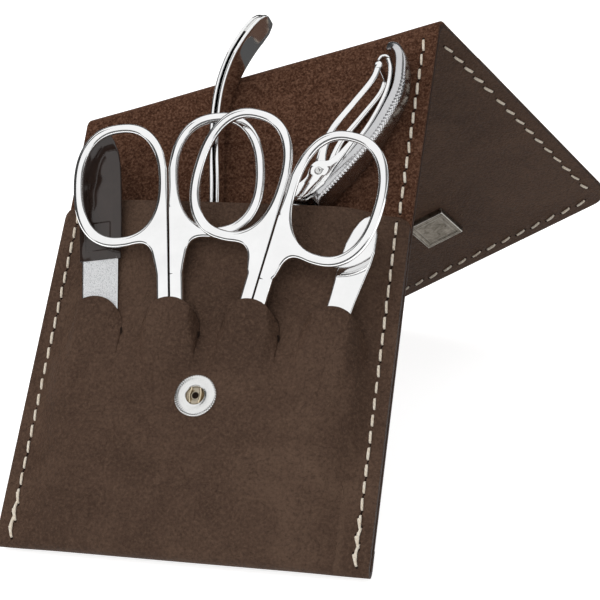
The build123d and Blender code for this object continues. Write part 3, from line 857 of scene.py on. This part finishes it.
def slit_end_cut_shades():
    """Painted shade: dark strips laid on the leather for the cuts that curl down past the lip at the right
    end of the first three slits.
    """
    t = np.linspace(0, 1, 9)
    half = 0.20 * np.sin(np.clip(t * 0.9 + 0.1, 0, 1) * math.pi) + 0.04
    verts, faces = [], []
    for slit in SLITS[:3]:
        faces += grid_faces(len(t), 2, len(verts))
        for u, v, w in zip(slit + SLIT_R - 0.15 + 0.45 * np.sin(t * 1.6), SLIT_V + 0.5 - 2.2 * t, half):
            for x in (u - w, u + w):
                surface = front_n(x, v) if v < SLIT_V else bare_panel(x, v)
                verts.append([x, v, float(surface) + 0.05])
    return np.array(verts), faces


# dark strips of painted shade for the cuts at the slits' ends
cuts = make("slit_end_cut_shades", slit_end_cut_shades(), (HOLE_SHADE,))
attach(cuts, "case")

# ---------------------------------------------------------------- saddle stitching
INSET = 3.2
BODY_PITCH = 3.75
FLAP_PITCH = 4.6
FRONT_SLANT = 4.0
BODY_SLANT = 5.0
FLAP_SLANT = 13.0
# short second stitches where the thread is fastened off: height, sideways shift
BACK_TACKS = [(3.4, 0.10), (5.6, -0.08), (7.4, 0.10), (9.2, -0.10), (11.4, 0.07)]


def run(start, end, pitch):
    """Middles of the stitches between two places."""
    n = max(int(abs(end - start) / pitch), 1)
    return [start + (end - start) * (i + 0.5) / n for i in range(n)]


def on_surface(kind, u, s):
    """Point of the front panel, the suede or the back."""
    if kind == "front":
        return np.array([u, s, float(bare_panel(u, s))])
    n = N_SUEDE if kind == "suede" else N_BACK
    return sheet(u, s, n + float(billow(u, s)))


def stitch_set(name, items, body, node, slant):
    """items: (kind, u, s, angle). One tube per stitch, dipping into a needle hole at each end; each hole is a
    dark disc of painted shade.
    """
    sides = 8
    stations = 11
    hole_sides = 10
    verts, faces, face_mats, twist = [], [], [], []
    for kind, u, s, angle in items:
        sign = -1 if kind == "back" else 1
        lean = FRONT_SLANT if kind == "front" else slant
        angle = math.radians(angle + rng.normal(0, 1.6) + lean * sign)
        half = 1.58 * (1 + rng.normal(0, 0.03))
        fat = 0.345 * (1 + rng.normal(0, 0.06))
        heading = np.array([math.cos(angle), math.sin(angle)])
        base = on_surface(kind, u, s)
        normal = np.cross(on_surface(kind, u + 0.4, s) - base, on_surface(kind, u, s + 0.4) - base)
        normal = normal / np.linalg.norm(normal) * sign

        def frame_at(t):
            """Point, direction and side at t, from -1 to 1 along the stitch."""
            place = np.array([u, s]) + half * t * heading
            point = on_surface(kind, *place)
            along = on_surface(kind, *(place + 0.2 * heading)) - point
            along = along / np.linalg.norm(along)
            return point, along, np.cross(normal, along)

        tube = ring_faces(stations, sides, len(verts))
        faces += tube
        face_mats += [0] * len(tube)
        for t in np.linspace(-1, 1, stations):
            point, _, side = frame_at(t)
            height = 0.30 * math.sqrt(max(1 - t ** 4, 0)) - 0.30 * max(abs(t) - 0.80, 0) / 0.20
            w = fat * (1 - 0.30 * abs(t) ** 3)
            for th in turn_angles(sides):
                lift = height + w * 0.82 * math.sin(th) - 0.06
                verts.append(point + normal * lift + side * w * math.cos(th))
                twist.append(th + t * 9.0)
        # painted shade: each needle hole is a dark disc just above the leather
        for t in (-1.05, 1.05):
            point, along, side = frame_at(t)
            faces.append(tuple(range(len(verts), len(verts) + hole_sides)))
            face_mats.append(1)
            for th in turn_angles(hole_sides):
                round_hole = along * 0.34 * math.cos(th) + side * 0.30 * math.sin(th)
                verts.append(point + normal * 0.035 + round_hole)
                twist.append(0.0)
    ob = make(name, (np.array(verts), faces), (THREAD, HOLE_SHADE), node, face_mats=face_mats)
    attribute = ob.data.attributes.new("twist", "FLOAT", "POINT")
    attribute.data.foreach_set("value", np.array(twist, np.float32))
    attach(ob, body)


for side, top in (("left", RIDGE_LEFT), ("right", RIDGE_RIGHT)):
    items = [(kind, float(edge_u(v)) + INSET, v, 90.0)
             for v in run(2.5, PANEL_H - 1.0, BODY_PITCH) for kind in ("front", "back")]
    items += [(kind, U_L + INSET, v, 90.0)
              for v in run(PANEL_H + 1.0, top - V_HALF - 2.5, BODY_PITCH) for kind in ("suede", "back")]
    for v, shift in BACK_TACKS:
        items.append(("front", float(edge_u(v)) + INSET + shift, v, 90.0 + 160 * shift))
    if side == "right":
        items = [(kind, CASE_W - u, v, angle) for kind, u, v, angle in items]
    stitch_set(f"thread_{side}", items, "case", f"stitching_{side}", BODY_SLANT)

for body, left_start, right_start, end in (
        ("flap_root", RIDGE_LEFT + V_HALF + 2, None, V1 - 0.6),
        ("flap_spine", V1 + 0.6, V1 + 0.6, V2 - 0.6),
        ("flap_end", V2 + 0.6, V2 + 0.6, SHEET_L - 6.5)):
    spots = [(U_L + INSET, v, 90.0) for v in run(left_start, end, FLAP_PITCH)]
    if right_start:
        spots += [(U_R - INSET, v, 90.0) for v in run(right_start, end, FLAP_PITCH)]
    if body == "flap_end":
        spots += [(u, SHEET_L - INSET, 0.0) for u in run(U_L + 5, U_R - 5, FLAP_PITCH)]
    items = [(kind, *spot) for spot in spots for kind in ("suede", "back")]
    stitch_set(f"thread_{body}", items, body, f"stitching_{body}", FLAP_SLANT)


# ---------------------------------------------------------------- scissors
def placed(key, mesh):
    """The mesh of a tool, from its own x, y, z into the case frame."""
    u, v, n, tilt, lean = TOOLS[key][:5]
    tilt = math.radians(tilt)
    lean = math.radians(lean)
    x = np.array([math.cos(tilt), -math.sin(tilt), 0])
    y = np.array([math.sin(tilt) * math.cos(lean), math.cos(tilt) * math.cos(lean), math.sin(lean)])
    return np.array([u, v, n]) + mesh[0] @ np.array([x, y, np.cross(x, y)]), mesh[1]


PIVOT = -8.0
SLOT_TURN = math.radians(35)
# ring's middle x and y, its half width and height, blade's length and width
SCISSORS = {
    "nail": (-11.75, 30.4, 11.6, 15.0, 26.0, 2.6),
    "cuticle": (-11.85, 29.0, 11.7, 15.6, 22.0, 2.1),
}
# screw from the rivet end behind to the head in front: radius, z
SCREW = [(0.05, -1.2), (1.6, -1.17), (1.88, -1.05), (1.9, -0.9), (1.2, -0.9), (1.2, 0.9), (2.0, 0.9),
         (1.98, 1.06), (1.75, 1.20), (1.2, 1.29), (0.05, 1.30)]


def oval(cx, cy, rx, ry):
    angle = turn_angles(160)
    power = 2 / 2.35
    return np.c_[cx + rx * signed_power(np.cos(angle), power), cy + ry * signed_power(np.sin(angle), power)]


def scissor_half(ring_x, ring_y, rx, ry, blade_len, blade_w):
    """Left ring, left shank and the blade that crosses to the right."""
    xs, ys, gx, gy = field_grid(-26, 5, -6.5, 48, 0.16)
    web = ring_y - ry
    ring = inside_of(gx, gy, oval(ring_x, ring_y, rx, ry))
    hole = inside_of(gx, gy, oval(ring_x + 0.05, ring_y + 0.15, rx - 2.25, ry - 2.35))
    shank = inside_of(gx, gy, [
        (2, ring_y), (-1.6, ring_y), (-2.6, web + 5), (-5.4, web + 1.5), (-4.3, web - 2.0),
        (-3.6, web - 5), (-3.2, 8), (-3.2, PIVOT + 4), (2, PIVOT + 4)])
    handle = np.maximum(np.maximum(union(ring, shank, 4.2), -hole), gx + 0.15)

    def handle_rounding(x, y):
        beside = smooth(-x, 0.30, 0.75)
        low = 1 - smooth(y, ring_y - 8, ring_y - 1)
        r = 1.02 - 0.30 * low * smooth(web - y, -3, 6)
        return r * (beside + (1 - beside) * (0.22 + 0.5 * (1 - low)))

    front = plate(outlines(handle, xs, ys, 0.34, 3), -0.93, 0.93, handle_rounding, depth=0.86, steps=7)

    tip = PIVOT - blade_len
    xs, ys, gx, gy = field_grid(-6, 6, tip - 2, PIVOT + 8, 0.12)
    disc = np.hypot(gx, gy - PIVOT) - 3.5
    lap = inside_of(gx, gy, [
        (-3.2, PIVOT + 5.5), (-0.15, PIVOT + 5.5), (2.6, PIVOT + 2), (3.2, PIVOT), (-2.2, PIVOT - 3),
        (-3.4, PIVOT)])
    blade = inside_of(gx, gy, [
        (-2.4, PIVOT - 1), (3.2, PIVOT), (blade_w + 0.3, PIVOT - 6),
        (0.62 * blade_w + 0.5, PIVOT - 0.6 * blade_len), (0.9, tip), (0.15, tip),
        (-1.0, PIVOT - 0.6 * blade_len), (-1.6, PIVOT - 7)])
    lower = union(union(disc, lap, 1.2), blade, 1.0)

    def grind(x, y):
        on_edge = smooth(x, 0.3, 1.2) * smooth(PIVOT - 5 - y, 0, 3)
        return 0.22 + on_edge * 0.5 * np.clip((y - tip) / blade_len, 0, 1)

    return join(front, plate(outlines(lower, xs, ys, 0.3, 2), 0.04, 0.96, grind, depth=0.22, steps=4))


def slot_cutter():
    """Box that cuts the slot in the head of the screw."""
    cos = math.cos(SLOT_TURN)
    sin = math.sin(SLOT_TURN)
    corners = np.array([(-2.5, -0.25), (2.5, -0.25), (2.5, 0.25), (-2.5, 0.25)])
    corners = corners @ np.array([(cos, sin), (-sin, cos)]) + [0, PIVOT]
    return np.array([(*corner_xy, z) for z in (1.02, 1.6) for corner_xy in corners]), ring_faces(2, 4)


for key, sizes in SCISSORS.items():
    tool = f"{key}_scissors"
    half_verts, half_faces = scissor_half(*sizes)
    fixed_half = placed(key, (half_verts, half_faces))
    moving_half = placed(key, (half_verts * [-1, 1, -1], half_faces))
    make(f"{tool}_fixed", fixed_half, (CHROME,), f"{key}_half_fixed", body=tool, flat=True)
    make(f"{tool}_moving_half", moving_half, (CHROME,), f"{key}_half_moving", body=f"{tool}_moving",
         flat=True)
    screw = make(f"{tool}_screw", placed(key, lathe(SCREW, 40, (0, PIVOT))), (CHROME_SOFT,), f"{key}_screw",
                 bevel=0.06)
    cutter = make("slot_cutter", placed(key, slot_cutter()), ())
    slot = screw.modifiers.new("slot", "BOOLEAN")
    slot.object = cutter
    slot.operation = "DIFFERENCE"
    slot.solver = "EXACT"
    bake(screw)
    bpy.data.objects.remove(cutter)
    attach(screw, tool)


# ---------------------------------------------------------------- nail file
def file_w(y):
    return float(np.interp(y, [-30, -29.2, -27.5, -24, 12], [0.5, 1.3, 2.4, 4.2, 4.4]))


def coat_w(y):
    return max(file_w(y) - 0.34, 0.2)


def file_top(q, y):
    return 0.30 - 0.22 * np.abs(q) ** 12


def coat_top(q, y):
    return np.full_like(q, 0.34)


def grip_w(y):
    return float(np.interp(y, [11, 22, 30, 34, 37.5, 40.5, 42.5, 43.5, 44],
                           [5.0, 5.3, 5.15, 4.95, 4.4, 3.3, 2.1, 1.2, 0.35]))


def grip_top(q, y):
    """Crowned face that breaks to a flat facet along its right side, with a sunk field at the blade's end."""
    ridge = 0.62 - 0.50 * smooth(y, 30, 43)
    height = (0.50 + 0.42 * smooth(y, 11, 26)) * (1 - 0.72 * smooth(y, 36, 44))
    t = (ridge - q) / (1 + ridge)
    left = 1 - smooth(y, 13.0, 26.0) * (0.46 * t + 0.62 * t * np.abs(t))
    right = 1 - 0.62 * (q - ridge) / (1 - ridge)
    face = height * np.minimum(left, right) * np.clip(1 - np.abs(q) ** 14, 0, 1) ** 0.5
    sunk = smooth(q, -0.70, -0.66) * (1 - smooth(q, ridge - 0.14, ridge - 0.10))
    sunk = sunk * smooth(y, 13.3, 13.5) * (1 - smooth(y, 20.0, 20.3))
    return np.maximum(face, -0.22) - 0.22 * sunk


def grip_low(q, y):
    return -0.75 * np.clip(1 - np.abs(q) ** 6, 0.25, 1)


steel = tapered(np.linspace(-30, 13, 60), file_w, file_top)
coat = tapered(np.linspace(-29, 12.5, 50), coat_w, coat_top)
grip = tapered(np.r_[np.linspace(11, 22, 90), np.linspace(22, 44, 80)[1:]], grip_w, grip_top, grip_low, 81)
make("file_blade_coated", placed("file", join(steel, coat)), (FILE_STEEL, GRIT), "file_blade", body="file",
     face_mats=[0] * len(steel[1]) + [1] * len(coat[1]))
make("file_grip", placed("file", grip), (PLASTIC,), "file_handle", body="file")


# ---------------------------------------------------------------- cuticle pusher
def pusher_w(y):
    return float(np.interp(y, [-30, -29, -27, -8, 4, 9, 13, 16.5, 20, 22, 23.2, 24],
                           [1.2, 1.9, 2.4, 2.7, 3.0, 3.35, 3.65, 3.6, 2.95, 2.15, 1.3, 0.25]))


def pusher_low(q, y):
    return -0.45 + 0.20 * np.clip((np.abs(q) - 0.90) / 0.10, 0, 1) ** 2


def pusher_top(q, y):
    """The underside mirrored, and dished towards the leaf-shaped end."""
    return -pusher_low(q, y) - 0.22 * smooth(y, 9, 15) * np.clip(1 - q ** 2, 0, 1)


pusher = tapered(np.r_[np.linspace(-30, 8, 40), np.linspace(8, 24, 60)[1:]], pusher_w, pusher_top, pusher_low)
make("cuticle_pusher_bar", placed("pusher", pusher), (CHROME,), "cuticle_pusher", body="pusher")

# ---------------------------------------------------------------- tweezers
TWEEZERS = [(43.6, 42.0), (42.4, 55.0), (41.0, 70.0), (39.4, 87.0), (37.4, 101.0), (37.0, 111.0),
            (38.2, 119.0), (41.0, 126.5), (45.0, 133.4)]
ARM_V = [42, 70, 86, 108, 122, 129, 131.2, 132.6, 133.3, 133.7]
ARM_LOW = [-5.3, -6, -6.3, -6.3, -6.3, -6.3, -5.9, -4.8, -3.6, -2.6]
ARM_HIGH = [-3.9, -2.6, -1.8, 0.6, 2.2, 2.3, 1.9, 0.8, -0.4, -1.4]
WELD_V = 127.4


def blade_between(line, tangent, thickness, margin, power, m):
    """Strip along a line, as deep as the tweezers are at each height, less a margin."""
    low = np.interp(line[:, 1], ARM_V, ARM_LOW) + margin
    high = np.interp(line[:, 1], ARM_V, ARM_HIGH) - margin
    return bar(line, tangent, thickness, low, high, power, m)


line, tangent, _ = path(TWEEZERS, 0.25)
leftward = np.c_[-tangent[:, 1], tangent[:, 0]]
for side, body, shift in (("left", "tweezers", 0.72), ("right", "tweezers_right", -0.72)):
    arm = blade_between(line + leftward * shift, tangent, 1.0, 0.05, 7.0, 44)
    make(f"tweezers_{side}_arm", arm, (CHROME,), f"tweezers_arm_{side}", body=body, bevel=0.08, sharp=60)
top = line[:, 1] > WELD_V
make("tweezers_weld_seam", blade_between(line[top], tangent[top], 0.84, 0.2, 6.0, 24), (CHROME_SOFT,),
     "tweezers_weld", body="tweezers")

# ---------------------------------------------------------------- folding clipper
PIN = (65.4, 91.4)
CL_FRONT = 2.2
CL_BACK = -6.3
SHELL = [(64.7, 84.9), (71.4, 94.2), (76.4, 102.2), (79.1, 108.5), (80.6, 113.8), (80.6, 119.0),
         (80.0, 122.3), (78.5, 124.4), (76.6, 124.9)]
STRIP = [(66.9, 90.6), (70.4, 96.3), (74.4, 103.0), (76.9, 109.0), (78.2, 114.0), (78.2, 118.6),
         (77.3, 121.4)]
RAIL = [PIN, (65.3, 96.5), (66.9, 102.6), (70.8, 109.0), (74.6, 115.2), (75.6, 119.0)]
RAIL_WIDTHS = [3.0, 2.0, 1.55, 1.5, 1.45, 1.5]
HOOK = [(77.3, 121.2), (77.3, 122.0), (76.4, 122.8), (75.2, 122.6), (74.6, 121.5)]
NECK = [(65.0, 93.2), (67.2, 93.8), (69.6, 96.2), (72.4, 100.2), (72.9, 99.4), (70.9, 95.6), (68.4, 91.4),
        (66.8, 88.4), (64.6, 86.2), (63.4, 88.6)]
BEAK = [(63.6, 90.4), (61.2, 88.2), (57.0, 82.6), (53.4, 77.2), (55.6, 78.6), (60.0, 82.4), (64.2, 85.6),
        (66.8, 88.4)]
JAW = [(64.0, 93.2), (67.2, 90.0), (66.0, 86.2), (60.6, 80.2), (53.6, 76.8), (58.0, 82.2), (62.4, 88.4)]


def flat_bar(points, width, n_low, n_high, power):
    line, tangent, _ = path(points, 0.35)
    return bar(line, tangent, width, n_low, n_high, power)


def shell_mesh():
    """Bent grip: rounded channel, knurled over its outer side and closing towards its ends."""
    line, tangent, s = path(SHELL, 0.16)
    m = 96
    half_x = 1.75
    knurl_pitch = 0.86
    knurl_height = 0.20
    cos = np.cos(turn_angles(m))
    sin = np.sin(turn_angles(m))
    s = s[:, None]
    closing = 0.55 + 0.45 * np.sin(np.minimum(s / 2.0, 1) * math.pi / 2)
    closing = closing * (0.62 + 0.38 * np.sin(np.minimum((s[-1] - s) / 4.0, 1) * math.pi / 2))
    z = (CL_FRONT - CL_BACK) / 2 * closing * signed_power(sin, 0.42)
    outer = half_x * signed_power(cos, 0.62)
    inner = 0.3 * half_x * signed_power(cos, 0.35)
    x = np.where(cos > 0, outer, inner) - 0.45

    def wave(q):
        return 1 - np.abs((q / knurl_pitch) % 1.0 - 0.5) * 2

    bumps = np.minimum(wave(s + z * 0.85), wave(s - z * 0.85))
    zone = smooth(cos, 0.14, 0.5) * smooth(s, 1.0, 3.0) * (1 - smooth(s, s[-1] - 12.0, s[-1] - 7.5))
    x = x + knurl_height * bumps * zone
    side = np.c_[tangent[:, 1], -tangent[:, 0]]
    plane = line[:, None] + side[:, None] * x[..., None]
    verts = np.concatenate([plane, ((CL_FRONT + CL_BACK) / 2 + z)[..., None]], axis=2).reshape(-1, 3)
    return verts, [face[:1] + face[:0:-1] for face in ring_faces(len(line), m)]


def strip_mesh():
    """Spring strip with the fixed ear round the pin and the beak that the jaw closes on."""
    xs, ys, gx, gy = field_grid(50, 76, 74, 104, 0.14)
    to_pin = np.hypot(gx - PIN[0], gy - PIN[1])
    neck = inside_of(gx, gy, NECK)
    beak = inside_of(gx, gy, BEAK)
    ear = union(union(to_pin - 2.35, neck, 1.6), beak, 1.4)
    above = outlines(np.maximum(np.maximum(ear, 0.9 - to_pin), 84.7 - gy), xs, ys)
    below = outlines(np.maximum(np.maximum(beak, gy - 86.0), 76 - gy), xs, ys)
    bridge = outlines(np.maximum(neck + 0.35, 68.6 - gx), xs, ys)
    return join(flat_bar(STRIP, 1.5, -3.8, 1.1, 3.0), plate(above, -3.8, 1.1, 0.18),
                plate(below, -3.8, -1.8, 0.18), plate(above, 2.35, 2.85, 0.16), plate(bridge, 1.0, 2.5, 0.16))


def jaw_mesh():
    xs, ys, gx, gy = field_grid(50, 70, 74, 96, 0.14)
    to_pin = np.hypot(gx - PIN[0], gy - PIN[1])
    jaw = np.maximum(union(inside_of(gx, gy, JAW), to_pin - 2.2, 1.0), 0.85 - to_pin)
    return plate(outlines(jaw, xs, ys), -5.3, -3.9, 0.2)


def lever_mesh():
    """Two rails with their eyes round the pin, and the bar that joins their other ends."""
    parts = []
    for n0, n1 in ((1.3, CL_FRONT), (CL_BACK, -5.4)):
        parts.append(flat_bar(RAIL, RAIL_WIDTHS, n0, n1, 2.1))
        parts.append(lathe([(0.86, n0 + 0.1), (0.95, n0), (1.9, n0), (2.1, n0 + 0.15), (2.1, n1 - 0.15),
                            (1.9, n1), (0.95, n1), (0.86, n1 - 0.1)], 40, PIN))
    parts.append(lathe([(0.1, -6.45), (0.8, -6.4), (0.95, -6.2), (0.75, -5.4), (0.75, 1.3), (0.95, 2.1),
                        (0.8, 2.3), (0.1, 2.35)], 32, RAIL[-1]))
    return join(*parts)


PIN_PROFILE = [(0.1, CL_BACK - 0.05), (0.85, CL_BACK), (0.85, CL_FRONT + 0.2), (0.85, CL_FRONT + 0.75),
               (0.78, CL_FRONT + 0.85), (0.5, CL_FRONT + 0.88), (0.42, CL_FRONT + 0.74),
               (0.05, CL_FRONT + 0.72)]
make("clipper_grip_shell", shell_mesh(), (KNURLED,), "clipper_shell", body="clipper")
make("clipper_spring_strip", strip_mesh(), (CHROME,), "clipper_strip", body="clipper")
make("clipper_cutting_jaw", jaw_mesh(), (CHROME,), "clipper_jaw", body="clipper_lever")
make("clipper_lever_rails", lever_mesh(), (CHROME,), "clipper_rails", body="clipper_lever")
make("clipper_pivot_pin", lathe(PIN_PROFILE, 36, PIN), (CHROME_SOFT,), "clipper_pin", body="clipper_lever")
make("clipper_latch_hook", flat_bar(HOOK, 0.8, -2.4, -0.4, 3.0), (CHROME,), "clipper_hook", body="clipper")

# ---------------------------------------------------------------- press stud
# ring from its outer foot to the rim of its hole: radius, height, how deep its teeth cut in and down
RING = [(5.05, 0.0, 0.08, 0), (5.06, 0.22, 0.16, 0), (4.92, 0.44, 0.16, 0.10), (4.62, 0.62, 0.08, 0.10),
        (4.2, 0.70, 0, 0), (3.6, 0.72, 0, 0), (2.9, 0.70, 0, 0), (2.45, 0.66, 0, 0), (2.2, 0.56, 0, 0),
        (2.1, 0.35, 0, 0), (2.1, 0.0, 0, 0)]
RING_SIDES = 260
RING_TEETH = 52
WELL = [(2.35, 0.5), (2.12, 0.32), (2.05, 0.12), (1.10, 0.08), (1.02, 0.20), (0.80, 0.20), (0.74, 0.06),
        (0.02, 0.06)]
WELL_SIDES = 48
STUD = [(4.95, 0.0), (5.0, 0.35), (4.7, 0.7), (3.9, 0.82), (2.2, 0.8), (1.75, 0.9), (1.68, 1.6), (1.9, 2.1),
        (2.02, 2.7), (1.9, 3.4), (1.5, 4.1), (0.9, 4.5), (0.05, 4.62)]


def socket_ring():
    angle = turn_angles(RING_SIDES)
    gap = 0.5 - 0.5 * np.cos(angle * RING_TEETH)
    rings = []
    for r, z, cut_in, cut_down in RING:
        r = r - cut_in * gap
        rings.append(np.c_[SNAP[0] + r * np.cos(angle), SNAP[1] + r * np.sin(angle),
                           SNAP_N + z - cut_down * gap])
    return np.concatenate(rings), ring_faces(len(RING), RING_SIDES, capped=False)


def spring_wire(sign):
    """One of the two bowed wires across the well."""
    t = np.linspace(-1, 1, 18)
    line = np.c_[SNAP[0] + sign * (0.95 + 0.35 * (1 - t ** 2)), SNAP[1] + 1.75 * t]
    tangent = np.gradient(line, axis=0)
    tangent /= np.linalg.norm(tangent, axis=1)[:, None]
    radius = 0.26
    height = SNAP_N + 0.36
    return bar(line, tangent, 2 * radius, height - radius, height + radius, 2.0, 12)


make("press_stud_ring", socket_ring(), (CHROME_SOFT,), "socket_ring", body="case")
well_verts, well_faces = lathe(WELL, WELL_SIDES, SNAP)
wall_faces = 5 * WELL_SIDES
open_faces = well_faces[:-2] + well_faces[-1:]
# painted shade: the well's inside is a darker metal and its centre hole is near-black
make("press_stud_post", (well_verts + [0, 0, SNAP_N], open_faces), (SOCKET_INSIDE_SHADE, HOLE_SHADE), "socket_post",
     body="case", face_mats=[0] * wall_faces + [1] * (len(open_faces) - wall_faces))
make("press_stud_spring", join(spring_wire(-1), spring_wire(1)), (SPRING_WIRE,), "socket_spring", body="case")
stud_verts, stud_faces = lathe(STUD, 56, (44.0, STUD_V))
stud_verts = stud_verts + [0, 0, N_SUEDE]
make("press_stud_male", (sheet(*stud_verts.T), stud_faces), (CHROME_SOFT,), "stud", body="flap_end")


# ---------------------------------------------------------------- badge
def badge_mesh():
    """Square plate with a double border and a hammered field, on the outside of the flap."""
    half = 5.6
    a = np.linspace(-half, half, 89)
    gx, gy = np.meshgrid(a, a)
    inwards = half - np.maximum(np.abs(gx), np.abs(gy))
    hammered = 0.05 * np.sin(gx * 3.1 + 1.7 * np.sin(gy * 2.3)) * np.cos(gy * 2.9 + 1.3 * np.sin(gx * 1.9))
    second_border = smooth(inwards, 1.5, 1.7) * (1 - smooth(inwards, 1.95, 2.15))
    z = 1.4 * smooth(inwards, -0.02, 0.25) ** 0.5 - 0.35 * smooth(inwards, 0.95, 1.2)
    z = z + 0.16 * second_border + hammered * smooth(inwards, 2.2, 2.6)
    u = 44.0 + gx
    v = STUD_V + gy
    verts, faces = slab(np.stack([u, v, N_BACK - z], axis=2), np.stack([u, v, N_BACK - 0.02 + 0 * z], axis=2))
    return sheet(*verts.T), [face[::-1] for face in faces]


make("badge_plate", badge_mesh(), (ANTIQUE,), "badge", body="flap_end")

# ---------------------------------------------------------------- camera, at the photograph's angle
CAMERA_AT = Vector((0.139187, -0.435033, 0.213243))
CAMERA_TARGET = Vector((-0.003254, -0.010264, 0.028868))
CAMERA_ROLL = math.radians(-4.3305)


def aimed(position, target):
    """Rotation that looks from position to target."""
    return (Vector(target) - Vector(position)).to_track_quat("-Z", "Y")


camera = bpy.data.objects.new("camera", bpy.data.cameras.new("camera"))
bpy.context.scene.collection.objects.link(camera)
camera_turn = aimed(CAMERA_AT, CAMERA_TARGET) @ Quaternion((0, 0, 1), CAMERA_ROLL)
camera.matrix_world = Matrix.LocRotScale(CAMERA_AT, camera_turn, None)
camera.data.sensor_width = 36.0
camera.data.lens = 120.0
camera.data.shift_x = 0.001017
camera.data.shift_y = 0.067617
camera.data.clip_start = 0.01
camera.data.clip_end = 20.0
bpy.context.scene.camera = camera


# ---------------------------------------------------------------- floor, lamps, world and cards
def floor_material():
    """Pale floor that keeps the object's shadow and looks nearly white."""
    m = new_material("floor_white")
    m.finish(Base_Color=(0.82, 0.82, 0.82), Roughness=0.9, Specular_IOR_Level=0.0)
    glow = m.add("Emission", Color=(1, 1, 1, 1))
    both = m.add("AddShader")
    m.feed(glow.inputs["Strength"], m.math("MULTIPLY", m.seen(), 0.78))
    m.feed(both.inputs[0], m.tree.nodes["Principled BSDF"].outputs["BSDF"])
    m.feed(both.inputs[1], glow.outputs["Emission"])
    m.feed(m.tree.nodes["Material Output"].inputs["Surface"], both.outputs["Shader"])
    return m.owner


CORNERS = ((-1, -1), (1, -1), (1, 1), (-1, 1))
FLOOR_HALF = 1.5
FLOOR_Z = -0.0004
floor = add_object("floor", [(x * FLOOR_HALF, y * FLOOR_HALF, FLOOR_Z) for x, y in CORNERS], [(0, 1, 2, 3)])
floor.data.materials.append(floor_material())


def lamp(name, position, size, power):
    """Soft lamp towards the middle of the object, which steel doesn't mirror."""
    data = bpy.data.lights.new(name, "AREA")
    data.shape = "RECTANGLE"
    data.size, data.size_y = size
    data.energy = power
    ob = bpy.data.objects.new(name, data)
    bpy.context.scene.collection.objects.link(ob)
    ob.location = position
    ob.rotation_mode = "QUATERNION"
    ob.rotation_quaternion = aimed(position, (0, 0, 0.05))
    ob.visible_glossy = False


lamp("key", (-0.60, -0.62, 0.85), (1.6, 1.3), 7.8)
lamp("fill", (0.55, -0.95, 0.60), (1.2, 0.9), 2.2)
lamp("back", (0.15, 0.45, 1.15), (1.4, 0.8), 3.6)

# the world lights the object at 0.28 and is white where it is seen
world = Nodes(bpy.data.worlds.new("studio"))
background = world.tree.nodes["Background"]
background.inputs["Color"].default_value = (1, 1, 1, 1)
world.feed(background.inputs["Strength"], world.fit(world.seen(), 0.28, 1.0))
bpy.context.scene.world = world.owner


def card(name, position, target, size, grey):
    """Dark card that only reflections see."""
    turn = aimed(position, target)
    corners = [Vector(position) + turn @ Vector((x * size[0] / 2, y * size[1] / 2, 0)) for x, y in CORNERS]
    ob = add_object(name, [tuple(point) for point in corners], [(0, 1, 2, 3)])
    m = new_material(name + "_black")
    ob.data.materials.append(m.finish(Base_Color=(grey, grey, grey), Roughness=1.0, Specular_IOR_Level=0.0))
    for rays in ("camera", "diffuse", "shadow", "transmission", "volume_scatter"):
        setattr(ob, "visible_" + rays, False)


# large dark cards round the set, away from the light in front of it, give the steel its dark lines
card("card_left", (-0.72, 0.06, 0.26), (0, 0, 0.10), (1.30, 0.74), 0.10)
card("card_upper", (-0.60, -0.38, 0.72), (-0.04, -0.02, 0.08), (0.26, 0.42), 0.02)
card("card_front", (-0.05, -0.80, 0.02), (0, 0, 0.08), (1.30, 0.36), 0.05)
card("card_right", (0.68, 0.02, 0.44), (0, 0, 0.08), (1.10, 0.56), 0.30)
card("card_back", (-0.12, 0.66, 0.46), (0, 0, 0.10), (1.40, 0.72), 0.10)
card("card_floor_back", (-0.05, 0.42, 0.004), (-0.05, 0.42, 1.0), (1.60, 0.64), 0.12)
card("card_floor_front", (-0.10, -0.44, 0.004), (-0.10, -0.44, 1.0), (1.4, 0.60), 0.25)
bpy.context.scene.view_settings.view_transform = "Standard"
